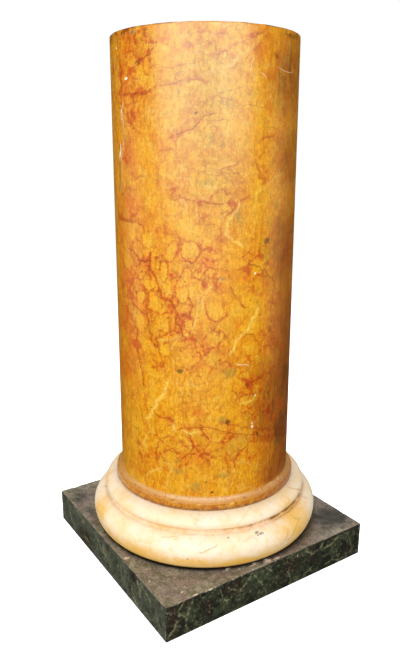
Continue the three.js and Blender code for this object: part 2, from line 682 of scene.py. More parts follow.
# Strokes are (half width in mm, strength, pixels along the stroke)
RED_VEINS = [
    (1.5, 0.7, [(131, 69), (137, 64), (145, 58), (150, 54), (152, 49)]),
    (3.0, 0.6, [(119, 58), (121, 75), (122, 84), (120, 93)]),
    (2.4, 0.9, [(122, 96), (130, 93), (137, 94.5), (145, 93), (150, 91)]),
    (1.6, 0.5, [(150, 91), (157, 86), (163, 84), (180, 82), (196, 80), (206, 82)]),
    (1.3, 0.4, [(150, 66), (157, 65), (165, 67), (175, 66), (183, 64)]),
    (2.4, 0.7, [(133, 97), (134, 104), (132, 112), (135, 117), (131, 123), (133, 129)]),
    (1.8, 0.6, [(127, 113), (129, 121), (133, 128), (138, 133)]),
    (1.2, 0.5, [(146, 97), (145, 102), (143, 108)]),
    (1.4, 0.7, [(169, 139), (176, 133.5), (185, 132.5), (192, 130.5), (196, 124), (205, 115), (215, 112)]),
    (1.0, 0.55, [(170, 140), (176, 143), (176, 148), (163, 150), (155, 154)]),
    (1.6, 0.4, [(205, 100), (215, 97), (226, 99), (238, 103)]),
    (1.5, 0.4, [(200, 52), (212, 56), (226, 50), (240, 42), (252, 38)]),
    (1.6, 0.4, [(193, 33), (205, 29), (214, 34), (228, 33)]),
    (2.2, 0.6, [(247, 36), (254, 33), (262, 34), (268, 28)]),
    (1.4, 0.7, [(262, 139), (268, 137), (273, 135), (274, 140), (278, 141)]),
    (2.0, 0.6, [(258, 163), (260, 172), (259, 177), (266, 179), (262, 184)]),
    (0.9, 0.6, [(223, 168), (228, 166), (233, 163.5), (241, 162)]),
    (0.9, 0.5, [(152, 161), (156, 166), (159, 169), (159, 178), (158, 188)]),
    (2.2, 0.6, [(131, 169), (133, 175), (135, 180), (137, 177), (142, 178)]),
    (2.6, 0.7, [(120, 164), (120, 175), (120, 188)]),
    (1.6, 0.6, [(130, 189), (126, 188), (123, 195)]),
    (1.3, 0.8, [(193, 200), (197, 201.5), (205, 202), (214, 204), (223, 205.5)]),
    (0.9, 0.6, [(174, 188), (169, 196), (171, 198.5), (175, 199), (184, 198.5), (193, 200)]),
    (1.2, 0.5, [(197, 203), (198, 212), (201, 218), (206, 215)]),
    (1.0, 0.5, [(209, 200), (212, 196), (216, 194), (220, 190), (226, 191), (231, 194)]),
    (2.4, 0.9, [(118, 208), (119, 214), (121, 219), (126, 220.5), (129, 222), (131, 217), (136, 214)]),
    (1.5, 0.8, [(129, 222), (136, 222), (141, 225), (144, 226.5), (144, 233)]),
    (1.2, 0.8, [(137, 239), (140, 240), (143, 246)]),
    (1.8, 1.0, [(130, 250), (134, 253), (137, 256), (139, 260), (142, 260.5), (145, 262), (149, 260),
        (150, 255)]),
    (2.4, 0.9, [(151, 262), (149, 268), (152, 273), (156, 277), (157, 283), (159, 288), (161, 293),
        (162, 298)]),
    (2.6, 0.9, [(162, 298), (168, 300), (173, 306), (175, 311), (176, 318)]),
    (1.8, 0.9, [(176, 318), (178, 323), (181, 326), (181, 333), (184, 336)]),
    (1.0, 0.7, [(184, 336), (188, 337), (186, 341), (191, 341)]),
    (1.3, 0.7, [(130, 279), (136, 279), (141, 279), (145, 275.5)]),
    (3.0, 0.9, [(129, 280), (131, 284), (130, 290), (132, 297), (134, 303)]),
    (2.8, 0.7, [(121, 278), (124, 284), (123, 292), (124, 300)]),
    (2.0, 0.8, [(145, 291), (147, 297), (147, 304), (146, 310), (148, 317), (148, 325), (149, 331),
        (152, 336)]),
    (1.5, 0.7, [(135, 303), (138, 308), (144, 313), (148, 318)]),
    (1.8, 0.6, [(128, 300), (127, 308), (128, 318)]),
    (2.4, 0.9, [(135, 327), (138, 332), (136, 339), (135, 344), (136, 348), (138, 352)]),
    (1.5, 0.85, [(138, 352), (140, 360), (141, 370), (143, 380), (144, 387)]),
    (1.8, 0.9, [(152, 335), (151, 340), (153, 345), (157, 347.5), (159, 343), (156, 339)]),
    (1.1, 0.8, [(157, 338), (163, 336), (168, 332.5), (174, 331), (180, 332)]),
    (1.4, 0.6, [(168, 275), (172, 278), (177, 277)]),
    (1.0, 0.95, [(183, 260), (188, 261), (191, 263), (195, 260), (199, 257), (202, 253), (209, 248)]),
    (1.0, 0.5, [(162, 256), (167, 262), (169, 267), (168, 273)]),
    (1.5, 0.8, [(203, 241), (200, 247), (201, 253)]),
    (1.6, 0.6, [(192, 276), (195, 271), (200, 268), (203, 262)]),
    (1.8, 0.7, [(200, 281), (204, 286), (208, 282), (210, 276)]),
    (2.2, 0.7, [(190, 318), (186, 314), (181, 315), (179, 320)]),
    (1.6, 0.7, [(190, 318), (192, 309), (191, 303), (189, 299)]),
    (2.0, 0.7, [(192, 335), (194, 341), (196, 347), (192, 349)]),
    (1.6, 0.9, [(199, 352), (203, 356), (207, 352), (212, 349)]),
    (1.8, 0.8, [(152, 366), (158, 367), (163, 366), (164, 361)]),
    (0.9, 0.6, [(145, 394), (146, 405), (148, 409)]),
    (1.3, 0.85, [(155, 411), (158, 416), (160, 419), (165, 417), (170, 419), (174, 424), (170, 426)]),
    (1.1, 0.8, [(179, 429), (185, 428), (192, 428), (200, 429), (205, 427), (212, 424), (222, 422)]),
    (1.3, 0.9, [(202, 427), (203, 432), (204, 436), (207, 439)]),
    (1.6, 0.95, [(192, 443), (194, 446), (199, 446)]),
    (1.4, 0.7, [(183, 458), (187, 454), (191, 451), (194, 447)]),
    (1.6, 0.5, [(200, 452), (207, 455), (213, 452), (222, 447)]),
    (1.8, 0.85, [(249, 195), (244, 199), (238, 202), (236, 207), (232, 211), (228, 216)]),
    (1.3, 0.7, [(228, 216), (223, 222), (221, 229), (222, 238)]),
    (1.3, 0.7, [(241, 257), (246, 256), (249, 252), (253, 254)]),
    (1.6, 0.7, [(231, 288), (234, 293), (236, 297)]),
    (1.3, 0.7, [(213, 283), (216, 288), (217, 281)]),
    (1.2, 0.6, [(240, 271), (246, 268), (249, 264)]),
    (1.4, 0.7, [(240, 303), (243, 308), (247, 306)]),
    (1.2, 0.7, [(206, 311), (209, 318), (213, 321.5), (220, 321), (224, 318.5), (227, 315)]),
    (1.8, 0.6, [(212, 328), (216, 332), (222, 331), (226, 336)]),
    (1.6, 0.5, [(254, 335), (256, 341), (262, 347), (270, 346)]),
    (2.4, 0.8, [(244, 379), (250, 384), (256, 381), (262, 376)]),
    (2.4, 0.8, [(247, 386), (251, 390), (249, 396)]),
    (1.8, 0.6, [(233, 392), (238, 396), (236, 402)]),
    (2.4, 0.7, [(262, 411), (268, 410), (271, 405), (275, 401)]),
    (1.3, 0.6, [(219, 364), (226, 362), (232, 366), (239, 369)]),
    (1.6, 0.5, [(222, 440), (229, 433), (236, 438), (242, 434), (247, 438)]),
    (2.0, 0.8, [(283, 440), (281, 455), (278, 470)]),
]

DARK_LINES = [
    (2.0, 0.9, [(135.5, 64), (139.5, 61)]),
    (0.5, 0.55, [(229, 104.5), (240, 105), (252, 104), (262, 106), (275, 107)]),
    (0.5, 0.45, [(200, 121), (214, 119), (228, 121)]),
    (0.6, 0.5, [(266, 128), (275, 127.5)]),
    (0.45, 0.5, [(196, 170), (210, 170), (222, 169), (240, 169.5)]),
    (0.45, 0.6, [(201, 174), (217, 175), (225, 173), (235, 174), (242, 172)]),
    (1.0, 0.7, [(283, 160), (285, 164), (281, 170)]),
    (1.2, 0.9, [(141, 261), (145, 262.5), (149, 261)]),
    (1.2, 0.9, [(252, 265), (256, 266), (260, 268), (264, 275.5), (269, 276), (273, 279), (276, 288)]),
    (1.0, 0.8, [(246, 334), (251, 334.3)]),
    (0.9, 1.0, [(140.5, 405.5), (141, 410), (141.8, 418)]),
    (1.2, 0.5, [(270, 378), (266, 386), (268, 394)]),
]

PALE_VEINS = [
    (3.2, 0.4, [(203, 76), (214, 70), (228, 64), (242, 56), (256, 44), (262, 38)]),
    (2.0, 0.6, [(281, 170), (277, 177), (272, 182), (266, 186), (255, 193)]),
    (1.3, 0.7, [(255, 192), (257, 198), (255, 206), (252, 214)]),
    (1.5, 0.8, [(240, 201), (238, 207), (234, 213), (231, 219), (228, 222)]),
    (1.7, 0.8, [(228, 222), (226, 231), (229, 238), (234, 242), (241, 245)]),
    (1.2, 0.6, [(251, 236), (253, 229), (255, 222)]),
    (1.0, 0.5, [(259, 263), (264, 268), (267, 262)]),
    (1.6, 0.6, [(211, 286), (207, 293), (203, 301), (204, 312)]),
    (1.4, 0.6, [(199, 297), (196, 308), (196, 320), (192, 333)]),
    (2.6, 0.95, [(258, 309), (255, 315), (252, 321), (249, 328)]),
    (1.9, 0.9, [(249, 328), (243, 334), (239, 339), (235, 344), (233, 349), (231, 354)]),
    (1.2, 0.6, [(180, 336), (176, 341), (172, 349)]),
    (1.4, 0.6, [(159, 340), (168, 340), (177, 338)]),
    (2.4, 0.9, [(168, 381), (165, 392), (158, 400), (154, 408), (148, 418)]),
    (1.3, 0.5, [(148, 418), (150, 430), (144, 441)]),
    (2.2, 0.8, [(184, 431), (190, 433), (198, 432)]),
    (1.8, 0.8, [(174, 424), (175, 431)]),
    (1.8, 0.8, [(258, 390), (256, 395), (253, 399), (250, 402), (242, 403)]),
    (1.2, 0.5, [(266, 382), (266, 389), (262, 394)]),
    (1.0, 0.5, [(220, 400), (219, 408), (214, 412)]),
    (1.2, 0.4, [(257, 418), (250, 432), (247, 440)]),
    (1.0, 0.6, [(146, 476), (152, 470), (160, 467)]),
    (1.2, 0.5, [(166, 488), (168, 478), (171, 468)]),
    (1.0, 0.6, [(226, 490), (229, 482), (231, 477)]),
    (1.3, 0.5, [(125, 240), (126, 246), (129, 251)]),
    (1.0, 0.5, [(262, 264), (271, 252)]),
    (1.0, 0.5, [(268, 270), (276, 256)]),
]

SCRATCHES = [
    (0.7, 0.8, [(123, 101), (122, 110), (123.5, 122), (124, 128)]),
    (0.5, 0.8, [(121, 112), (121, 122)]),
    (0.5, 0.7, [(124, 128), (124.5, 140), (123.5, 149), (121.5, 156)]),
    (1.6, 1.0, [(120.4, 144), (120.6, 150), (119.7, 156)]),
    (0.5, 0.9, [(121, 152), (121.5, 163), (122, 170), (122, 178), (121, 190)]),
    (0.4, 0.8, [(253.5, 58), (252, 64), (250.5, 70)]),
    (0.35, 0.7, [(279.5, 68), (285, 70.5), (291, 72.5)]),
    (0.5, 0.8, [(262.5, 73), (264.5, 77)]),
    (0.45, 1.0, [(237.5, 364.3), (248, 364.3)]),
]

# Closed cells of paler stone, each the pixels round its edge
CELLS = [
    [(169, 246), (173, 242), (178, 243), (179, 250), (176, 256), (170, 262), (165, 258), (166, 251)],
    [(181, 245), (186, 242), (195, 242), (199, 245), (200, 252), (196, 258), (191, 262), (186, 260),
     (181, 257)],
    [(176, 290), (181, 288), (187, 288), (189, 294), (188, 301), (182, 304), (177, 302)],
    [(150, 296), (157, 295), (161, 299), (163, 306), (160, 312), (153, 313), (149, 306)],
    [(143, 280), (150, 278), (155, 281), (155, 287), (150, 290), (144, 287)],
    [(136, 290), (141, 289), (145, 293), (146, 300), (142, 306), (137, 304)],
    [(160, 262), (166, 260), (168, 268), (167, 276), (163, 282), (160, 276)],
    [(184, 321), (190, 317), (194, 318), (193, 328), (188, 332), (184, 328)],
    [(168, 336), (174, 333), (179, 333), (180, 338), (175, 340), (169, 340)],
    [(207, 305), (213, 301), (220, 301), (225, 306), (226, 314), (222, 320), (213, 321), (208, 315)],
    [(160, 345), (167, 342), (172, 347), (170, 356), (162, 358), (158, 351)],
    [(183, 272), (190, 268), (192, 276), (190, 284), (184, 286), (180, 279)],
    [(125, 250), (130, 254), (134, 262), (131, 272), (125, 268), (123, 258)],
    [(136, 312), (140, 311), (145, 318), (144, 326), (138, 327), (135, 319)],
]

# Clouds and marks are (x, y, half width, half height, amount), all in pixels but the amount
ORANGE_CLOUDS = [
    (128, 50, 12, 26, 0.8), (126, 85, 9, 26, 0.9), (134, 110, 9, 22, 0.8), (130, 160, 7, 26, 0.9),
    (127, 205, 10, 18, 1.0), (123, 240, 6, 30, 0.8), (128, 275, 8, 26, 0.9), (125, 320, 7, 34, 0.9),
    (150, 318, 12, 16, 0.5), (126, 365, 8, 30, 1.0), (131, 350, 7, 14, 0.9), (205, 262, 9, 14, 0.8),
    (246, 276, 10, 9, 0.9), (206, 345, 8, 9, 0.9), (238, 325, 7, 7, 0.7), (252, 384, 12, 9, 0.9),
    (200, 412, 10, 6, 0.7), (162, 452, 12, 8, 0.6), (200, 455, 16, 9, 0.6), (225, 433, 16, 10, 0.5),
    (255, 440, 8, 18, 0.7), (270, 165, 12, 20, 0.5), (262, 55, 14, 14, 0.5), (268, 180, 10, 10, 0.6),
    (262, 300, 10, 16, 0.5), (270, 345, 10, 30, 0.6), (163, 362, 12, 8, 0.5), (190, 348, 6, 10, 0.6),
    (146, 420, 10, 30, 0.4), (190, 470, 10, 8, 0.5),
]

RUST_CLOUDS = [
    (122, 34, 10, 7, 1.0), (136, 38, 8, 8, 0.8), (143, 28, 3, 5, 0.7), (148, 56, 5, 3, 0.8),
    (138, 62, 5, 4, 1.0), (114, 65, 4, 14, 1.1), (122, 68, 5, 12, 0.7), (134, 76, 5, 5, 0.7),
    (138, 94, 8, 3, 1.0), (158, 87, 6, 4, 0.6), (130, 105, 7, 10, 0.7), (134, 118, 6, 8, 0.8),
    (114, 100, 4, 14, 0.8), (200, 40, 14, 6, 0.4), (222, 37, 12, 6, 0.5), (255, 33, 8, 5, 0.8),
    (198, 82, 12, 4, 0.4), (205, 114, 10, 5, 0.5), (236, 114, 6, 4, 0.5), (184, 132, 9, 3, 0.5),
    (174, 185, 4, 4, 0.8), (198, 202, 6, 3, 1.0), (204, 213, 5, 6, 0.6), (270, 140, 7, 5, 0.6),
    (262, 176, 5, 5, 0.8), (236, 204, 4, 5, 0.8), (220, 223, 6, 6, 0.6), (221, 237, 4, 5, 0.7),
    (123, 215, 5, 6, 1.0), (174, 234, 7, 5, 0.6), (152, 251, 6, 8, 0.7), (145, 260, 6, 3, 0.9),
    (152, 273, 5, 5, 1.0), (157, 286, 4, 6, 0.8), (172, 277, 6, 4, 0.9), (204, 250, 5, 4, 1.2),
    (206, 262, 6, 5, 0.6), (196, 272, 4, 4, 0.8), (204, 285, 6, 6, 0.9), (152, 294, 6, 4, 0.8),
    (132, 297, 4, 6, 1.4), (124, 290, 4, 12, 0.9), (168, 300, 6, 4, 0.8), (173, 305.5, 4, 3.5, 1.5),
    (184, 314, 6, 4, 1.1), (180, 323, 4, 4, 0.9), (191, 308, 3, 6, 0.6), (147, 314, 5, 8, 0.7),
    (155, 342, 5, 5, 1.1), (135, 346, 4.5, 5, 1.5), (134, 332, 6, 8, 0.6), (194, 341, 4, 7, 0.9),
    (204, 354, 6, 4, 0.9), (158, 365, 7, 3.5, 1.0), (244, 305, 5, 5, 0.6), (218, 333, 7, 6, 0.6),
    (245, 272, 6, 6, 0.8), (252, 386, 7, 6, 1.0), (268, 410, 6, 6, 0.9), (171, 421, 5, 4.5, 1.0),
    (184, 427, 8, 2, 0.7), (204, 434, 3, 5, 0.7), (194, 445, 3.5, 2.5, 1.5), (203, 455, 9, 5, 0.8),
    (224, 442, 9, 6, 0.5), (243, 436, 5, 8, 0.6), (258, 449, 6, 6, 0.6), (281, 460, 5, 14, 0.9),
    (270, 476, 10, 5, 0.8), (142, 455, 5, 6, 0.7), (133, 468, 9, 5, 0.6), (283, 178, 6, 8, 0.5),
]

PALE_CLOUDS = [
    (172, 100, 22, 22, 0.7), (180, 222, 24, 28, 0.5), (180, 306, 20, 36, 0.5), (178, 440, 26, 26, 0.6),
    (182, 402, 22, 18, 0.5), (210, 90, 26, 16, 0.5), (190, 140, 26, 16, 0.4), (222, 62, 16, 7, 0.6),
    (190, 162, 20, 14, 0.5), (222, 182, 14, 9, 0.4), (182, 210, 14, 8, 0.4), (252, 169.5, 3, 3, 1.6),
    (190, 250, 8, 6, 0.4), (228, 232, 4, 6, 0.8), (203, 306, 4, 14, 0.8), (189, 322, 5, 8, 0.7),
    (172, 350, 10, 12, 0.4), (174, 365, 8, 10, 0.4), (204, 362, 8, 3, 0.8), (165, 395, 8, 8, 0.5),
    (191, 432, 9, 3, 1.8), (155, 408, 4, 10, 0.9), (252, 398, 8, 4, 0.9), (252, 325, 4, 10, 0.7),
    (225, 287, 5, 7, 0.5), (147, 250, 4, 8, 0.4), (203, 494, 12, 3, 0.6), (228, 484, 6, 6, 0.5),
]

OLIVE_CLOUDS = [
    (208, 142, 7, 6, 0.9), (222, 145, 9, 5, 0.6), (205, 185, 16, 7, 0.7), (227, 178, 8, 5, 0.6),
    (172, 216, 7, 6, 0.6), (238, 218, 9, 12, 0.9), (206, 208, 5, 4, 0.7), (245, 207, 6, 5, 0.6),
    (283, 82, 6, 16, 0.9), (282, 112, 4, 10, 1.1), (284, 60, 5, 8, 0.7), (183, 296, 5, 5, 0.6),
    (157, 325, 7, 5, 0.6), (134, 364, 4, 4, 0.6), (228, 375, 8, 6, 1.3), (262, 283, 6, 5, 0.5),
    (276, 252, 4, 4, 0.9), (219, 421, 6, 5, 1.3), (175, 462, 4, 3, 1.2), (178, 474, 6, 4, 1.1),
    (195, 487, 7, 5, 1.1), (222, 474, 7, 5, 1.1), (258, 402, 6, 6, 0.5), (133, 445, 7, 9, 0.6),
    (277, 205, 5, 6, 0.7),
]

# Brown glaze, mostly down the right side: partly the paint's own brown, partly painted shade where the
# round turns away from the light
BROWN_AND_SHADE_CLOUDS = [
    (290, 80, 20, 60, 0.9), (289, 160, 20, 50, 0.8), (286, 250, 22, 60, 1.0), (286, 330, 24, 55, 1.2),
    (281, 400, 28, 50, 1.6), (281, 460, 24, 36, 1.4), (270, 370, 16, 30, 0.7), (111, 40, 5, 12, 0.7),
    (286, 485, 6, 12, 1.2),
]

# Where the gold is made deeper and less blue: near both sides as seen, painted shade that takes the
# varnish's sheen out of the colour there
DEEP_GOLD_AND_SHADE_CLOUDS = [
    (128, 60, 12, 60, 0.6), (128, 160, 12, 50, 0.9), (130, 260, 12, 70, 1.0), (132, 370, 14, 60, 1.0),
    (262, 60, 14, 50, 0.7), (264, 150, 14, 60, 0.9), (266, 260, 18, 70, 1.0), (262, 370, 22, 60, 1.0),
    (215, 320, 40, 40, 0.4), (215, 420, 40, 50, 0.4),
]

# Paler, less red patches: on the upper front a painted highlight standing in for the varnish's glare; round
# the back, fading
FADE_AND_GLARE_CLOUDS = [(205, 80, 44, 90, 1.0), (210, 150, 40, 70, 0.7), (240, 60, 10, 60, 0.4)]

BROWN_MARKS = [
    (122, 32, 8, 3, 0.8), (138, 62, 3, 2, 0.8), (117, 42, 3, 7, 0.7), (146, 30, 2, 4, 0.6),
    (284, 375, 7, 36, 0.75), (282, 425, 7, 30, 0.8), (280, 465, 6, 14, 0.5), (283, 300, 4, 30, 0.4),
    (278, 57, 3, 6, 1.0), (267, 241, 3, 4, 1.2), (181, 370.7, 5, 1.7, 1.5), (228, 422, 3, 2.5, 1.1),
    (257, 434, 2.5, 4, 0.9), (111, 33, 5, 4, 0.8), (292, 36, 8, 4, 0.9), (283, 108, 3, 6, 0.5),
    (247, 386, 3, 4, 0.7), (268, 330, 3, 6, 0.6), (272, 300, 3, 8, 0.6), (276, 430, 4, 12, 0.7),
    (284, 84, 3, 12, 0.5),
]

# Where the rust web is dense
BUSY_CLOUDS = [
    (158, 290, 38, 62, 1.0), (123, 120, 12, 110, 0.7), (127, 310, 12, 120, 0.6), (262, 262, 16, 44, 0.9),
    (256, 392, 18, 44, 0.9), (200, 452, 80, 22, 0.8), (138, 55, 22, 30, 0.9), (230, 42, 54, 20, 0.5),
    (205, 118, 44, 20, 0.3), (232, 206, 16, 24, 0.6), (205, 345, 30, 22, 0.8), (180, 368, 60, 12, 0.5),
    (222, 232, 14, 20, 0.5), (268, 150, 14, 40, 0.5), (272, 330, 12, 60, 0.8), (205, 272, 30, 26, 0.7),
    (175, 185, 20, 10, 0.4),
]

DARK_MARKS = [
    (196.8, 113, 1.2, 1.2, 1.2), (194, 113, 0.8, 0.9, 0.6), (150.3, 122, 1.2, 0.9, 0.7),
    (133, 128, 1.0, 1.2, 0.9), (193.5, 168.5, 0.9, 0.8, 0.6), (212.5, 491.5, 1.7, 1.1, 1.6),
    (251, 300, 0.9, 1.0, 0.9), (260, 315, 1.2, 1.2, 0.9), (125.5, 328.5, 0.8, 1.1, 1.0),
    (142, 272, 1.4, 0.9, 0.9), (184.5, 281, 0.9, 1.0, 0.8), (148, 409, 0.9, 1.5, 0.8),
    (151.5, 407.5, 1.0, 1.0, 0.8), (219.5, 361, 1.0, 1.2, 0.9), (236, 295, 0.9, 1.0, 0.7),
    (206, 482, 1.2, 0.8, 0.9), (245, 471, 1.2, 1.2, 0.6), (168, 381, 0.8, 1.4, 0.6),
]

PALE_MARKS_AND_RIM_GLINT = [
    (126.3, 78, 1.3, 1.1, 1.6), (116.6, 48.8, 0.8, 0.9, 1.0), (255.3, 273, 1.0, 1.3, 1.0),
    (251.5, 427.5, 1.1, 1.0, 1.2), (252, 424, 0.9, 2.0, 0.7), (254.8, 395.5, 0.9, 0.9, 0.9),
    # The thin mark along the top rim is a painted highlight where the rim catches the glare; the others are
    # pale ground showing through chips
    (180, 22, 12, 0.8, 0.5),
]

GREY_CHIPS = [
    (131.5, 31, 2.6, 2.2, 1.1), (219.5, 277, 1.8, 1.6, 1.1), (222.5, 278.7, 1.7, 1.6, 1.1),
    (276, 324, 4.5, 3, 0.55), (281, 322, 2, 4, 0.5),
]

# Dents are (pixel, radius in mm, depth in mm)
SHAFT_DENTS = [
    ((288.5, 31), 4.0, 3.0), ((131.5, 31), 5.5, 0.6), ((120.5, 150), 4.0, 0.4), ((126.3, 78), 3.0, 0.4),
    ((219.5, 277), 3.5, 0.4), ((222.5, 279), 3.0, 0.4), ((141, 411), 2.5, 0.3), ((212.5, 491.5), 3.0, 0.5),
]

# The base moulding

HONEY_CLOUDS = [
    (101, 508, 18, 34, 0.9), (112, 535, 20, 14, 0.7), (142, 552, 28, 8, 1.1), (147, 541, 11, 5, 0.5),
    (160, 555, 16, 4, 0.5), (195, 562, 34, 4, 1.0), (240, 562, 30, 4, 1.1), (272, 550, 20, 10, 0.7),
    (298, 520, 20, 34, 1.2), (284, 532, 14, 16, 0.8), (306, 503, 8, 12, 0.5), (290, 488, 12, 8, 0.5),
    (120, 497, 10, 10, 0.5), (108, 478, 10, 12, 0.7), (130, 508, 12, 5, 0.4), (236, 528, 14, 3, 0.4),
    (170, 526, 40, 3, 0.5), (298, 462, 8, 12, 0.6),
]
HAIRLINES = [
    (0.5, 0.8, [(199, 552.5), (206, 551), (216, 546)]),
    (0.4, 0.6, [(160, 537), (178, 535), (195, 534)]),
    (0.5, 0.9, [(276, 520), (282, 516), (290, 512), (293, 505)]),
    (0.5, 0.9, [(293, 516), (297, 520), (301, 517)]),
    (0.5, 0.9, [(298, 519), (296, 528), (291, 536), (287, 540)]),
    (0.4, 0.8, [(288, 530), (286, 538), (280, 546)]),
    (0.4, 0.4, [(240, 522), (246, 515), (250, 508), (251, 504)]),
    (0.5, 0.9, [(289, 487), (294, 489), (301, 490)]),
    (0.4, 0.7, [(100, 488), (104, 486), (108, 481)]),
    (0.3, 0.6, [(245, 540), (252, 537), (258, 541)]),
    (0.3, 0.6, [(213, 504), (222, 509), (228, 516)]),
    (0.3, 0.6, [(96, 508), (101, 512), (104, 519)]),
]
CHIPS = [
    (257.5, 532.5, 2.4, 1.9, 1.0), (260.5, 534, 2.2, 1.7, 1.0), (257.5, 535.2, 1.4, 1.0, 0.9),
    (227.3, 537.6, 1.6, 1.0, 1.1), (188, 559, 1.6, 0.9, 0.6), (172, 557, 1.2, 0.8, 0.5),
    (271, 509, 1.2, 0.9, 0.6), (183, 540, 1.0, 0.8, 0.5),
]
BASE_DENTS = [((258.5, 533.5), 7.0, 0.6), ((227.5, 537.5), 3.5, 0.5)]

# The plinth

LICHEN_VEINS = [
    (3.0, 0.9, [(74, 505), (78, 512), (81, 517), (84, 523)]),
    (2.2, 0.8, [(70, 512), (72, 520), (76, 527)]),
    (1.8, 0.7, [(84, 535), (88, 541), (92, 548)]),
    (3.0, 0.8, [(95, 532), (98, 540), (101, 548), (106, 556)]),
    (2.2, 0.7, [(103, 545), (104, 552), (108, 560), (112, 570)]),
    (7.0, 0.9, [(138, 583), (140, 590), (141, 597)]),
    (3.5, 0.9, [(132, 588), (134, 597), (138, 606), (141, 608)]),
    (2.2, 0.8, [(141, 585), (146, 592), (150, 602)]),
    (1.8, 0.6, [(118, 566), (121, 573), (124, 584)]),
    (1.6, 0.6, [(156, 612), (158, 622), (162, 632)]),
    (1.0, 0.9, [(184, 601), (181, 608), (179, 616)]),
    (1.7, 1.0, [(177, 624), (174, 629), (169, 636)]),
    (2.0, 0.8, [(192, 601), (190, 607), (189, 613), (186, 620)]),
    (1.2, 0.6, [(178, 612), (185, 618), (187, 628)]),
    (1.2, 0.8, [(220, 588), (222, 594), (223, 600), (228, 600)]),
    (1.0, 0.8, [(228, 600), (234, 595), (241, 589), (247, 582), (252, 573)]),
    (1.6, 0.7, [(229, 588), (236, 590), (240, 591)]),
    (1.4, 0.6, [(254, 574), (258, 580), (262, 584)]),
    (1.0, 0.6, [(263, 572), (267, 568), (272, 570)]),
    (1.0, 0.7, [(303, 576), (307, 571), (312, 566)]),
    (0.9, 0.7, [(288, 572), (291, 576), (290, 581)]),
    (1.2, 0.8, [(306, 551), (313, 554), (319, 549), (323, 543)]),
    (1.8, 0.8, [(325, 547), (330, 545), (334, 541), (338, 536)]),
    (1.2, 0.7, [(326, 564), (332, 560), (338, 560), (346, 556)]),
    (0.9, 0.6, [(347, 534), (350, 541), (352, 548)]),
]
GREEN_CLOUDS = [
    (190, 615, 12, 14, 0.9), (152, 600, 12, 18, 0.6), (115, 562, 16, 18, 1.0), (258, 578, 16, 12, 1.2),
    (222, 604, 10, 10, 0.7), (330, 550, 16, 10, 0.6), (275, 572, 10, 8, 0.5), (150, 612, 10, 10, 0.7),
]
MAROON_CLOUDS = [
    (172, 620, 6, 13, 1.4), (134, 577, 3, 6, 1.8), (131, 590, 3, 8, 1.0), (86, 538, 8, 12, 1.1),
    (108, 548, 5, 5, 0.8), (234, 589, 11, 7, 1.2), (290, 566, 14, 8, 0.8), (312, 560, 10, 6, 0.7),
    (208, 606, 7, 9, 0.8), (65, 500, 4, 16, 0.5),
]
WORN_PATCHES = [
    (267, 560, 7, 2.4, 1.6), (277, 557.5, 6, 1.6, 1.6), (254, 565, 7, 2, 1.3), (226, 569.3, 5, 1.4, 1.5),
    (240, 570, 12, 3, 0.6), (127.5, 558.5, 4.0, 1.9, 1.9), (123, 562, 2, 2, 1.2), (196, 594, 5, 1.5, 1.8),
    (210, 589.5, 6, 1.1, 1.4), (182, 591.3, 1.4, 1.0, 1.7), (150, 581, 3, 2, 1.0), (147, 570, 4, 1.5, 0.9),
    (186, 587, 4, 5, 0.5), (297, 556, 1.6, 1.6, 1.0), (166, 612, 1.5, 14, 0.7), (133, 565, 4, 2, 0.6),
]
SHADE_PATCHES = [
    (112, 560, 12, 7, 0.8), (90, 512, 7, 20, 0.8), (332, 517, 38, 24, 1.3), (76, 498, 18, 20, 0.8),
    (160, 566, 30, 3, 0.4),
]
PLINTH_DENTS = [
    ((167, 612), 7, 3.0), ((167, 633), 6, 2.5), ((134, 577), 7, 3.0), ((198, 594), 6, 1.2),
    ((272, 566), 6, 1.5), ((122, 562), 5, 1.2), ((251, 576), 5, 1.5), ((340, 533), 5, 1.5),
    ((80, 512), 5, 1.2),
]


# The shaft

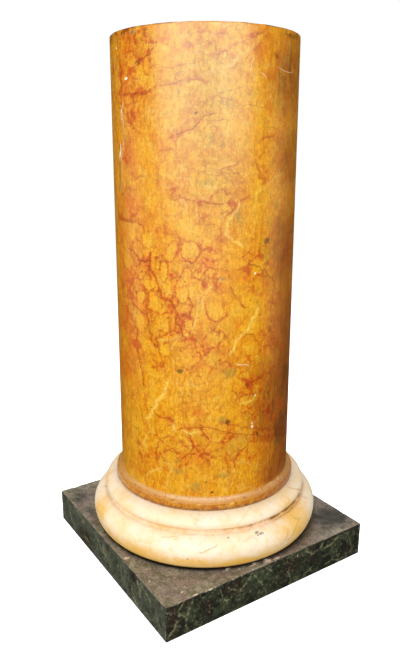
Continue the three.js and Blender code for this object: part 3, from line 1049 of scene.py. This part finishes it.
def yellow_marble_paint():
    """Golden marble: warm stones in a torn rust web, veins that break up, wear, and a thin varnish."""
    paint = Paint("yellow_marble_paint")
    gold = srgb(238, 167, 12)
    amber = srgb(222, 131, 0)
    straw = srgb(244, 184, 44)
    orange = srgb(226, 112, 0)
    rust = srgb(204, 80, 4)
    red_brown = srgb(150, 54, 6)
    olive = srgb(180, 142, 52)
    brown = srgb(100, 54, 8)
    glaze = srgb(184, 146, 84)
    deep = srgb(255, 250, 140)
    fade_and_glare_tint = srgb(228, 244, 255)
    cream = srgb(253, 218, 122)
    ground = srgb(250, 236, 205)
    grey = srgb(124, 114, 98)
    dusty = srgb(206, 158, 96)

    far = paint.swirl(0.07, 0.018, seed=1.0)
    near = paint.swirl(0.014, 0.005, seed=2.0, place=far)
    upright = paint.stretched((1, 1, 0.11))
    brushed = paint.stretched((1, 1, 0.4))
    level_brushed = paint.stretched((0.4, 0.4, 1))
    broad = paint.noise(0.05, 6, 0.62, far, seed=5.0)
    patch = paint.noise(0.018, 6, 0.66, near, seed=6.0)
    tear = paint.noise(0.008, 5, 0.7, seed=12.0)
    grain = paint.noise(0.0045, 4, 0.7, seed=7.0)
    speck = paint.noise(0.003, 2, 0.6, seed=13.0)
    bristle = paint.noise(0.0042, 4, 0.7, brushed, seed=14.0)
    streaks = paint.noise(0.006, 5, 0.68, upright, seed=3.0)
    dabs = paint.noise(0.012, 5, 0.7, level_brushed, seed=15.0)
    layer = paint.noise(0.02, 6, 0.68, near, seed=16.0)
    busy = paint.amount("busy_cloud") + (broad - 0.5) * 1.2
    high = paint.place.parts()[2].between(0.62, 0.82)
    low = paint.place.parts()[2].between(0.8, 0.3, 0.6, 1.0)

    def cloud(name, ragged, low, high):
        torn = paint.amount(name) + (patch - 0.5) * ragged
        torn = torn + (tear - 0.5) * (ragged * 0.6)
        return torn.between(low, high)

    stone, shade, tint = paint.stones(0.036, near)
    join = paint.cells(0.036, near)
    crack = paint.cells(0.015, near)
    broken = tear.between(0.4, 0.58, 0.1, 1.0)
    seen = busy.between(0.0, 0.9, 0.15, 1.0) * patch.between(0.3, 0.56, 0.3, 1.0)
    colour = paint.layered(
        gold,
        (amber, broad.between(0.42, 0.64, 0.0, 0.85)),
        (straw, bristle.between(0.48, 0.64, 0.0, 0.6) * low),
        (amber, bristle.between(0.5, 0.36, 0.0, 0.8) * low),
        (straw, stone.between(0.4, 0.8, 0.0, 0.7) * seen),
        (amber, shade.between(0.5, 0.9, 0.0, 0.6) * seen),
        (olive, tint.between(0.7, 0.95, 0.0, 0.3) * seen),
        (straw, patch.between(0.52, 0.7, 0.0, 0.5)),
        (olive, broad.between(0.44, 0.3, 0.0, 0.4)),
        (straw, layer.between(0.53, 0.56, 0.0, 0.45)),
        (amber, layer.between(0.45, 0.42, 0.0, 0.45)),
        (cream, layer.between(0.6, 0.63, 0.0, 0.3)),
        (straw, cloud("pale_cloud", 1.8, 0.2, 1.0) * 0.7),
        (orange, cloud("orange_cloud", 2.2, 0.2, 1.1) * 0.75),
        (olive, cloud("olive_cloud", 2.0, 0.3, 1.1) * 0.7),
        (orange, busy.between(0.3, 1.1) * patch.between(0.5, 0.36) * 0.5),
        (rust, cloud("rust_cloud", 3.4, 0.35, 1.1) * 0.78),
        (rust, dabs.between(0.54, 0.7) * high * 0.35),
        (cream, dabs.between(0.46, 0.32) * high * 0.3),
    )

    web_width = tear.between(0.35, 0.7, 0.01, 0.2)
    web = join.between(0.0, web_width, 1.0, 0.0) * broken * busy.between(0.1, 0.8, 0.1, 1.0)
    fine_web = crack.between(0.0, 0.12, 1.0, 0.0) * broken * busy.between(0.2, 1.0, 0.08, 0.6)
    flecks = tear.between(0.56, 0.7) * busy.between(0.0, 0.9, 0.08, 0.7)
    fine_flecks = grain.between(0.56, 0.66) * busy.between(0.2, 1.0, 0.02, 0.45)
    pale_flecks = grain.between(0.44, 0.34) * patch.between(0.46, 0.6, 0.05, 0.3)
    thread = paint.noise(0.13, 3, 0.55, near, seed=10.0).ridge(0.007)
    pale_thread = paint.noise(0.12, 3, 0.55, near, seed=11.0).ridge(0.01)
    colour = paint.layered(
        colour,
        (rust, web),
        (red_brown, fine_web * patch.between(0.42, 0.56) * 0.7),
        (rust, flecks * 0.8),
        (red_brown, fine_flecks * patch.between(0.4, 0.56, 0.2, 0.8)),
        (cream, pale_flecks),
        (red_brown, thread * broken * 0.35),
        (cream, pale_thread * broken * 0.3),
    )

    torn_edge = paint.amount("cell") + (tear - 0.5) * 12.0
    outline = abs(torn_edge).between(0.3, 2.0, 1.0, 0.0)
    colour = paint.layered(
        colour,
        (straw, torn_edge.between(-6.0, 1.0, 0.6, 0.0)),
        (rust, outline * patch.between(0.42, 0.58, 0.05, 0.85)),
    )

    wobble = (tear - 0.5) * 5.0
    worn = patch.between(0.36, 0.5, 0.45, 1.0)
    stain = paint.stroke_halo("red_vein", 9.0) * tear.between(0.44, 0.6)
    red = paint.stroke_mask("red_vein", wobble, 0.8) * worn
    vein_colour = paint.over(rust, red_brown, grain.between(0.46, 0.6))
    glow = paint.stroke_halo("pale_vein", 7.0) * tear.between(0.44, 0.6)
    ragged = wobble * 1.5 + (grain - 0.5) * 3.0
    light = paint.stroke_mask("pale_vein", ragged, 1.3) * tear.between(0.38, 0.56, 0.45, 1.0)
    thin = paint.stroke_mask("dark_line", wobble * 0.4, 0.6)
    colour = paint.layered(
        colour,
        (rust, stain * 0.6),
        (vein_colour, red),
        (straw, glow * 0.6),
        (cream, light * 0.85),
        (red_brown, thin * 0.8),
    )

    # The brown glaze, partly painted shade down the right side, with brown and rust streaks in it
    brown_and_shade = paint.amount("brown_and_shade_cloud")
    side_tint_and_shading = brown_and_shade.between(0.1, 1.1) * patch.between(0.3, 0.7, 1.0, 0.7)
    brown_streaks_in_shade = streaks.between(0.48, 0.6) * brown_and_shade.between(0.15, 0.9, 0.12, 0.6)
    reddened = streaks.between(0.52, 0.4) * brown_and_shade.between(0.05, 0.6, 0.05, 0.5)
    colour = paint.layered(
        colour,
        # Painted shade near both sides (deeper gold), a painted highlight on the upper front (paler
        # patches), and the brown glaze that also paints the right side's shade
        (deep, paint.amount("deep_gold_and_shade_cloud"), "MULTIPLY"),
        (fade_and_glare_tint, paint.amount("fade_and_glare_cloud"), "MULTIPLY"),
        (glaze, side_tint_and_shading, "MULTIPLY"),
        (brown, brown_streaks_in_shade),
        (rust, reddened),
        (brown, cloud("brown_mark", 1.6, 0.3, 0.9) * 0.75),
    )
    colour = paint.shade(colour, streaks.between(0.3, 0.7, 0.84, 1.1))
    colour = paint.shade(colour, bristle.between(0.32, 0.68, 0.9, 1.08))
    colour = paint.shade(colour, speck.between(0.3, 0.7, 0.91, 1.07))

    chip = paint.amount("grey_chip") + (grain - 0.5) * 1.6
    scratch = paint.stroke_mask("scratch", (grain - 0.5) * 1.6, 0.5)
    # Pale ground where scratched or chipped, and the painted highlight on the top rim
    bare_and_glint = scratch.most(paint.amount("pale_mark_and_glint").between(0.3, 0.7))
    colour = paint.layered(
        colour,
        # Pale specks: painted glints, standing in for the sparkle of the varnish's fine bumps
        (cream, speck.between(0.58, 0.8, 0.0, 0.25)),
        (brown, paint.amount("dark_mark").between(0.3, 0.7, 0.0, 0.9)),
        (grey, chip.between(0.35, 0.8, 0.0, 0.7)),
        (ground, bare_and_glint),
    )

    height = paint.place.parts()[2]
    run = height + (tear - 0.5) * (14 * MM)
    in_cove = run.between(COVE_TOP - 4 * MM, COVE_TOP - 1 * MM, 1.0, 0.0)
    fillet_top = SHAFT_LOW.z + FILLET_HEIGHT
    on_fillet = height.between(fillet_top - 1 * MM, fillet_top + 1 * MM, 1.0, 0.0)
    dusted = in_cove * (1.0 - on_fillet) * grain.between(0.4, 0.56, 0.5, 1.0)
    # Painted shade: the fillet's foot darkens where it meets the base moulding
    joint_shade = height.between(SHAFT_LOW.z + 3 * MM, SHAFT_LOW.z + 9 * MM, 1.0, 0.0)
    across, deep_in, _ = paint.place.parts()
    radius_squared = across * across + deep_in * deep_in
    on_rim = radius_squared.between((SHAFT_TOP_RADIUS - 5 * MM) ** 2, (SHAFT_TOP_RADIUS - 2 * MM) ** 2)
    edge = height.between(SHAFT_HIGH.z - 3.2 * MM, SHAFT_HIGH.z - 1.4 * MM) * on_rim
    edge = edge * patch.between(0.4, 0.6, 0.1, 0.9) * (1.0 - bare_and_glint)
    colour = paint.layered(
        colour,
        (red_brown, on_fillet * tear.between(0.4, 0.6, 0.7, 0.15)),
        (cream, on_fillet * patch.between(0.54, 0.64, 0.0, 0.6)),
        (dusty, dusted),
        (orange, dusted * tear.between(0.5, 0.64, 0.0, 0.6)),
        (brown, in_cove * tear.between(0.54, 0.66, 0.0, 0.5)),
        (brown, joint_shade * tear.between(0.36, 0.6, 1.0, 0.4)),
        (brown, edge),
    )

    roughness = tear.between(0.3, 0.7, 0.3, 0.55)
    roughness = roughness + bare_and_glint * 0.3
    relief = streaks * 0.3 + (tear * 0.4 + grain * 0.3)
    relief = relief - bare_and_glint * 0.8
    return paint.finish(colour, roughness, relief, 0.5, 0.6 * MM, 0.2, coat=1.0, coat_roughness=0.34)


def make_shaft():
    profile = shaft_profile()
    shaft, angle, row = turned_object("painted_shaft", profile, SHAFT_COLUMNS)
    surface = turned_surface(shaft, profile, angle, row, SHAFT_TOP_RADIUS)
    mesh = shaft.data
    below_top = SHAFT_HIGH.z - surface.points[:, 2]
    on_rim = np.clip(1 - np.abs(below_top) / (3 * MM), 0, 1) * (surface.radius > SHAFT_TOP_RADIUS - 10 * MM)
    depth = dents(surface, SHAFT_DENTS)
    depth = np.maximum(depth, on_rim * unevenness(surface.points, 22 * MM, 0.8 * MM, 6.0))
    push_in(mesh, surface, depth)

    random = np.random.default_rng(11)
    waver = surface.shake(3.2 * MM, 15 * MM, 1.0)
    drift = surface.shake(10.0 * MM, 60 * MM, 2.0)
    still = surface.shake(0.6 * MM, 12 * MM, 4.0)
    for name, strokes, hidden, shake in (
        ("red_vein", RED_VEINS, (60, 1.7, 0.9, 24 * MM, -0.9, 0.6), waver),
        ("pale_vein", PALE_VEINS, (26, 1.6, 0.7, 26 * MM, 1.1, 0.5), waver),
        ("dark_line", DARK_LINES, (20, 0.7, 0.7, 20 * MM, 0.2, 0.6), waver),
        ("scratch", SCRATCHES, (9, 0.45, 0.8, 14 * MM, 1.5, 0.2), still),
    ):
        placed = routes(surface, strokes) + wandering(random, surface, *hidden)
        add_field(mesh, name, stroke_field(surface, placed, shake))
    add_field(mesh, "cell", cell_field(surface, [[surface.spot(p) for p in c] for c in CELLS], waver))
    for name, clouds, hidden, shake in (
        ("orange_cloud", ORANGE_CLOUDS, (24, 18, 50, 0.9), drift),
        ("rust_cloud", RUST_CLOUDS, (60, 8, 18, 1.0), drift),
        ("pale_cloud", PALE_CLOUDS, (20, 15, 45, 0.7), drift),
        ("olive_cloud", OLIVE_CLOUDS, (24, 8, 22, 0.9), drift),
        ("brown_and_shade_cloud", BROWN_AND_SHADE_CLOUDS, (9, 50, 110, 0.7), waver),
        ("deep_gold_and_shade_cloud", DEEP_GOLD_AND_SHADE_CLOUDS, (10, 30, 80, 0.9), waver),
        ("fade_and_glare_cloud", FADE_AND_GLARE_CLOUDS, (8, 30, 80, 0.7), waver),
        ("brown_mark", BROWN_MARKS, (14, 6, 14, 0.9), waver),
        ("busy_cloud", BUSY_CLOUDS, (14, 40, 100, 0.9), drift),
        ("dark_mark", DARK_MARKS, (12, 1.5, 3, 1.0), None),
        ("pale_mark_and_glint", PALE_MARKS_AND_RIM_GLINT, (6, 1.5, 3, 1.0), None),
        ("grey_chip", GREY_CHIPS, (5, 2, 5, 1.0), None),
    ):
        placed = spots(surface, clouds) + scattered(random, surface, *hidden)
        add_field(mesh, name, patch_field(surface, placed, shake))
    mesh.materials.append(yellow_marble_paint())
    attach(shaft, "root")
    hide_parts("shaft")


# The base moulding

def cream_marble_paint():
    """Cream marble: ivory in the light, honey at the ends and low down, where it also paints shade,
    hairlines, and painted shade in the hollow under the roll and at its foot.
    """
    paint = Paint("cream_marble_paint")
    ivory = srgb(253, 235, 208)
    tan = srgb(246, 210, 136)
    honey = srgb(241, 184, 60)
    ochre = srgb(208, 150, 84)
    grey = srgb(130, 106, 80)
    dark = srgb(78, 62, 44)

    drift = paint.swirl(0.06, 0.03, seed=21.0)
    broad = paint.noise(0.08, 5, 0.6, drift, seed=22.0)
    fine = paint.noise(0.016, 5, 0.64, seed=23.0)
    speckle = paint.noise(0.005, 4, 0.66, seed=25.0)
    height = paint.place.parts()[2] - PLINTH_HIGH.z
    honey_here = paint.amount("honey_cloud") + (fine - 0.5) * 1.2
    honey_here = honey_here + (broad - 0.5) * 0.8
    vein = paint.noise(0.12, 3, 0.55, drift, seed=24.0).ridge(0.009)
    # Painted shadow in the hollow under the roll
    crease = paint.amount("crease") * fine.between(0.3, 0.6, 0.5, 1.0)
    stain = paint.stroke_halo("hairline", 6.0) * speckle.between(0.4, 0.6)
    hair = paint.stroke_mask("hairline", (speckle - 0.5) * 2.0, 0.5)
    chip = (paint.amount("chip") + (speckle - 0.5) * 1.4).between(0.35, 0.6)
    # Painted shade at the torus's foot, where it meets the plinth
    foot_shade = height.between(6 * MM, 13 * MM, 1.0, 0.0)
    colour = paint.layered(
        ivory,
        (tan, broad.between(0.42, 0.7, 0.0, 0.5)),
        (tan, fine.between(0.5, 0.68, 0.0, 0.35)),
        (honey, honey_here.between(-0.1, 1.2, 0.0, 0.8)),
        # Honey towards the torus's foot: partly the paint's yellowing, partly painted shade under the curve
        (honey, height.between(8 * MM, 34 * MM, 0.8, 0.0)),
        (ochre, vein * fine.between(0.42, 0.6) * 0.25),
        (ochre, speckle.between(0.6, 0.74, 0.0, 0.3)),
        (ochre, crease * 0.8),
        (dark, crease.between(0.7, 1.3, 0.0, 0.7)),
        (honey, stain * 0.5),
        (grey, hair * 0.8),
        (dark, chip * 0.62),
        (dark, foot_shade * fine.between(0.3, 0.6, 0.8, 1.0)),
    )

    roughness = fine.between(0.3, 0.7, 0.4, 0.52) + crease * 0.3
    relief = broad * 0.3 + (fine * 0.4 + speckle * 0.3)
    relief = relief - chip * 0.6
    return paint.finish(colour, roughness, relief, 0.25, 0.4 * MM, 0.35, coat=0.2)


def make_base():
    profile = base_profile()
    base, angle, row = turned_object("painted_base", profile, BASE_COLUMNS)
    surface = turned_surface(base, profile, angle, row, TORUS_RADIUS)
    mesh = base.data
    push_in(mesh, surface, dents(surface, BASE_DENTS))
    random = np.random.default_rng(12)
    waver = surface.shake(3.0 * MM, 30 * MM, 5.0)
    strokes = routes(surface, HAIRLINES) + wandering(random, surface, 9, 0.4, 0.7, 16 * MM, 0.4, 0.4)
    add_field(mesh, "hairline", stroke_field(surface, strokes, waver))
    honey = spots(surface, HONEY_CLOUDS) + scattered(random, surface, 9, 20, 50, 0.8)
    add_field(mesh, "honey_cloud", patch_field(surface, honey, waver))
    chips = spots(surface, CHIPS) + scattered(random, surface, 7, 1.5, 3, 1.1)
    add_field(mesh, "chip", patch_field(surface, chips, None))
    # Painted shadow in the hollow under the roll, stronger on the right, away from the main lights
    away = np.abs(surface.points[:, 2] - (ROLL_MIDDLE - ROLL_UNDER_HEIGHT - 3 * MM)) / (4.5 * MM)
    right = surface.points @ camera_axes()[1]
    crease_shade_strength = np.clip(0.7 + right / TORUS_RADIUS * 1.2, 0.7, 1.5)
    add_field(mesh, "crease", crease_shade_strength * (surface.radius > ROLL_RADIUS - 12 * MM) * np.exp(-(away**2)))
    mesh.materials.append(cream_marble_paint())
    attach(base, "root")
    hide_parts("base_moulding")


# The plinth

def green_marble_paint():
    """Dark green marble of torn stones with olive veins, painted light on the side that faces -x, and a
    dusty, worn top.
    """
    paint = Paint("green_marble_paint")
    black_green = srgb(30, 32, 24)
    green = srgb(60, 68, 48)
    maroon = srgb(46, 34, 27)
    lichen = srgb(158, 156, 116)
    painted_side_light = srgb(98, 102, 88)
    dusty = srgb(142, 134, 114)
    mauve = srgb(124, 108, 98)
    moss = srgb(112, 110, 80)
    pale = srgb(250, 228, 200)
    joint_shade = srgb(24, 18, 12)

    drift = paint.swirl(0.04, 0.014, seed=31.0)
    broad = paint.noise(0.05, 5, 0.6, drift, seed=32.0)
    fine = paint.noise(0.014, 5, 0.66, seed=33.0)
    speckle = paint.noise(0.0045, 4, 0.72, seed=37.0)
    dust = paint.noise(0.003, 2, 0.6, seed=38.0)

    def cloud(name, ragged, low, high):
        torn = paint.amount(name) + (fine - 0.5) * ragged
        return torn.between(low, high)

    stone, shade, tint = paint.stones(0.028, drift)
    join = paint.cells(0.028, drift)
    crack = paint.cells(0.011, drift)
    broken = speckle.between(0.42, 0.6, 0.0, 1.0)
    normal = paint.normal()
    # Painted light: the side that faces -x is made paler grey
    side_tint_and_shading = normal[0].between(-0.5, -0.9) * fine.between(0.36, 0.6, 0.2, 0.65)
    web_width = fine.between(0.4, 0.7, 0.01, 0.13)
    web = join.between(0.0, web_width, 1.0, 0.0) * broken * tint.between(0.3, 0.8, 0.1, 0.7)
    fine_web = crack.between(0.0, 0.1, 1.0, 0.0) * broken * broad.between(0.44, 0.62)
    wobble = (fine - 0.5) * 5.0
    vein = paint.stroke_mask("lichen_vein", wobble, 0.8) * speckle.between(0.4, 0.58, 0.1, 1.0)
    halo = paint.stroke_halo("lichen_vein", 9.0) * fine.between(0.45, 0.6)
    side = paint.layered(
        black_green,
        (green, broad.between(0.46, 0.7, 0.0, 0.6)),
        (green, stone.between(0.4, 0.9) * fine.between(0.4, 0.6) * 0.7),
        (maroon, shade.between(0.6, 0.95) * fine.between(0.6, 0.4) * 0.6),
        (painted_side_light, side_tint_and_shading),
        (green, cloud("green_cloud", 2.6, 0.3, 1.0) * 0.8),
        (maroon, cloud("maroon_cloud", 2.6, 0.3, 0.9) * 0.9),
        (lichen, web * 0.65),
        (moss, fine_web * 0.7),
        (lichen, vein * 0.85),
        (moss, halo * 0.6),
        (moss, speckle.between(0.54, 0.66) * fine.between(0.4, 0.6, 0.2, 0.8)),
    )
    side = paint.shade(side, speckle.between(0.34, 0.6, 0.6, 1.15))
    side = paint.over(side, lichen, dust.between(0.6, 0.8, 0.0, 0.3))

    top = paint.layered(
        dusty,
        (mauve, broad.between(0.42, 0.6, 0.0, 0.9)),
        (moss, fine.between(0.48, 0.62) * 0.75),
    )
    top = paint.shade(top, fine.between(0.34, 0.66, 1.2, 0.8))
    top = paint.shade(top, speckle.between(0.36, 0.64, 0.68, 1.3))
    top = paint.layered(
        top,
        (pale, dust.between(0.56, 0.8, 0.0, 0.35)),
        (pale, speckle.between(0.66, 0.74, 0.0, 0.5)),
        # Painted shadow beside the base moulding and round its foot
        (black_green, cloud("shade", 1.2, 0.1, 1.2) * 0.85),
        (joint_shade, paint.amount("crevice")),
    )

    worn = paint.amount("worn") + (speckle - 0.5) * 3.4
    colour = paint.layered(
        side,
        (top, normal[2].between(0.45, 0.9)),
        (pale, worn.between(0.5, 1.3, 0.0, 0.8)),
    )

    roughness = fine.between(0.3, 0.7, 0.45, 0.62)
    relief = broad * 0.3 + speckle * 0.7
    return paint.finish(colour, roughness, relief, 0.4, 0.6 * MM, coat=0.1)


def plinth_surface(thing):
    """The slab unrolled face by face, each face a sheet of its own, far from the others."""
    points, normals = point_arrays(thing.data)
    axis = np.abs(normals).argmax(1)
    facing = axis * 2 + (normals[np.arange(len(normals)), axis] > 0)
    on_x_face = facing < 2
    across = np.where(on_x_face, points[:, 1], points[:, 0])
    along = np.where(facing < 4, points[:, 2], points[:, 1]) + facing * SHEET_STEP
    return Surface(points, normals, across, along, 0.0)


def hidden_plinth_strokes(random):
    """Veins for the two sides that the photograph doesn't show."""
    made = []
    for facing in (1, 3):
        for _ in range(16):
            across = random.uniform(-0.9, 0.9) * PLINTH_HIGH.x
            along = random.uniform(0.1, 0.9) * PLINTH_HIGH.z
            heading = random.normal(1.2, 0.6)
            places = []
            for _ in range(random.integers(3, 6)):
                places.append((across, along + facing * SHEET_STEP))
                heading += random.normal(0, 0.6)
                across += math.cos(heading) * 10 * MM
                along = min(max(along + math.sin(heading) * 10 * MM, 2 * MM), PLINTH_HIGH.z - 2 * MM)
            made.append((random.uniform(0.7, 1.8), random.uniform(0.5, 0.9), places))
    return made


def hidden_plinth_clouds(random, count):
    """Clouds for the same two sides."""
    made = []
    for facing in (1, 3):
        for _ in range(count):
            across = random.uniform(-0.9, 0.9) * PLINTH_HIGH.x
            along = random.uniform(0.1, 0.9) * PLINTH_HIGH.z + facing * SHEET_STEP
            wide = random.uniform(12, 40)
            tall = random.uniform(12, 30)
            made.append(((across, along), wide, tall, random.uniform(0.5, 1.0)))
    return made


def edge_wear(points):
    """How near each point is to an edge of the slab, from 0 to 1 within a few millimetres of it."""
    inside = np.sort(np.minimum(points - np.array(PLINTH_LOW), np.array(PLINTH_HIGH) - points), axis=1)
    return np.clip(1 - inside[:, 1] / (5 * MM), 0, 1)


def make_plinth():
    plinth = slab_object("painted_plinth", PLINTH_LOW, PLINTH_HIGH, 2 * MM)
    surface = plinth_surface(plinth)
    mesh = plinth.data
    edge = edge_wear(surface.points)
    ragged = np.clip(fractal(surface.points, 16 * MM, 4, 7.0) - 0.05, 0, 1)
    raised = np.clip((surface.points[:, 2] - PLINTH_LOW.z) / PLINTH_HIGH.z * 1.6 - 0.3, 0.08, 1)
    depth = np.maximum(dents(surface, PLINTH_DENTS), edge * ragged * raised * 3.0 * MM)
    push_in(mesh, surface, depth)

    random = np.random.default_rng(13)
    waver = surface.shake(1.5 * MM, 14 * MM, 8.0)
    drift = surface.shake(5.0 * MM, 30 * MM, 9.0)
    strokes = routes(surface, LICHEN_VEINS) + hidden_plinth_strokes(random)
    add_field(mesh, "lichen_vein", stroke_field(surface, strokes, waver))
    for name, clouds in (("green_cloud", GREEN_CLOUDS), ("maroon_cloud", MAROON_CLOUDS)):
        placed = spots(surface, clouds) + hidden_plinth_clouds(random, 7)
        add_field(mesh, name, patch_field(surface, placed, drift))
    add_field(mesh, "shade", patch_field(surface, spots(surface, SHADE_PATCHES), drift))
    # Painted contact shadow round the foot of the base moulding, wider on the right
    rightward = np.clip(surface.points @ camera_axes()[1] / TORUS_RADIUS, 0, 1)
    reach = TORUS_RADIUS + (19 * rightward**2 - 9) * MM
    add_field(mesh, "crevice", np.clip((reach - surface.radius) / ((4 + 16 * rightward) * MM), 0, 1))
    upper = np.clip((surface.points[:, 2] - PLINTH_HIGH.z + 5 * MM) / (5 * MM), 0, 1)
    rubbed = edge * upper * np.clip(fractal(surface.points, 25 * MM, 4, 7.5) + 0.35, 0, 1)
    worn = patch_field(surface, spots(surface, WORN_PATCHES), waver)
    add_field(mesh, "worn", np.maximum(worn, rubbed * 0.8))
    mesh.materials.append(green_marble_paint())
    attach(plinth, "root")
    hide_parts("plinth")


# The studio

def plain_white(name):
    """White paper that is bright by itself, so that the picture's ground stays even."""
    paint = Paint(name)
    grain = paint.noise(0.02, 3, 0.5, seed=41.0)
    shade = paint.over(srgb(250, 250, 250), srgb(244, 244, 244), grain)
    material = paint.finish(shade, 0.9, grain, 0.05, 0.1 * MM)
    shader = paint.tree.nodes["Principled BSDF"]
    shader.inputs["Emission Color"].default_value = WHITE
    shader.inputs["Emission Strength"].default_value = 1.0
    shader.inputs["Specular IOR Level"].default_value = 0.0
    return material


def stage_object(name, points, faces):
    """A part of the studio that the camera sees, and that lights and mirrors in nothing."""
    thing = mesh_object(name, points, faces, smooth=False)
    thing.data.materials.append(plain_white(name))
    thing.visible_diffuse = False
    thing.visible_glossy = False
    thing.visible_shadow = False


def make_floor():
    size = STUDIO_REACH
    corners = [(-size, -size), (size, -size), (size, size), (-size, size)]
    low = [(x, y, 0.0) for x, y in corners]
    high = [(x, y, size) for x, y in corners]
    stage_object("studio_floor", low, [(0, 1, 2, 3)])
    walls = [(i, i + 4, (i + 1) % 4 + 4, (i + 1) % 4) for i in range(4)]
    stage_object("studio_backdrop", low + high, walls + [(7, 6, 5, 4)])


def aim(thing, target):
    direction = Vector(target) - thing.location
    thing.rotation_euler = direction.to_track_quat("-Z", "Y").to_euler()


def soft_box(name, turn, rise, reach, wide, tall, power, mirrored=True):
    """A soft light given by its angles from the camera: to the right, and up from the column's middle.
    A fill light isn't mirrored in the varnish."""
    light = bpy.data.lights.new(name, "AREA")
    light.shape = "RECTANGLE"
    light.size = wide
    light.size_y = tall
    light.energy = power
    thing = bpy.data.objects.new(name, light)
    middle = Vector((0.0, 0.0, LIT_HEIGHT))
    heading = CAMERA_TURN + math.pi - math.radians(turn)
    flat = Vector((math.sin(heading), math.cos(heading), 0.0))
    rise = math.radians(rise)
    thing.location = middle + (flat * math.cos(rise) + Vector((0, 0, math.sin(rise)))) * reach
    aim(thing, middle)
    thing.visible_glossy = mirrored
    bpy.context.collection.objects.link(thing)


def make_lights():
    for light in (
        ("left_panel", -39, 22, 2.3, 1.25, 1.3, 13),
        ("left_front_panel", -13.5, 22, 2.3, 1.0, 1.3, 10),
        ("right_front_panel", 13, 22, 2.3, 1.0, 1.3, 10),
        ("right_panel", 38, 22, 2.3, 1.25, 1.3, 11.5),
        ("overhead", 0, 68, 1.9, 1.6, 1.6, 11),
        ("behind", 180, 50, 2.3, 1.6, 1.2, 24),
        ("left_edge", -95, -2, 2.4, 1.0, 1.2, 31, False),
        ("right_edge", 95, -2, 2.4, 1.0, 1.2, 21, False),
        ("low_fill", -4, -9, 2.3, 2.4, 0.6, 24, False),
    ):
        soft_box(*light)
    world = bpy.data.worlds.new("studio")
    world.use_nodes = True
    background = world.node_tree.nodes["Background"]
    background.inputs["Color"].default_value = WHITE
    background.inputs["Strength"].default_value = SKY
    bpy.context.scene.world = world


def make_camera():
    camera = bpy.data.cameras.new("photo_camera")
    camera.sensor_fit = "AUTO"
    camera.sensor_width = SENSOR
    camera.lens = FOCAL_PIXELS / PHOTO_HEIGHT * SENSOR
    camera.clip_start = 0.05
    camera.clip_end = 100.0
    camera.shift_y = (PHOTO_CENTRE[1] - PHOTO_HEIGHT / 2) / PHOTO_HEIGHT
    thing = bpy.data.objects.new("photo_camera", camera)
    thing.location = camera_axes()[0]
    thing.rotation_euler = (math.pi / 2 - CAMERA_DIP, 0.0, -(CAMERA_TURN + CAMERA_SWING))
    bpy.context.collection.objects.link(thing)
    bpy.context.scene.camera = thing


bpy.context.scene.view_settings.view_transform = "Standard"
make_camera()
make_lights()
make_floor()
make_plinth()
make_base()
make_shaft()
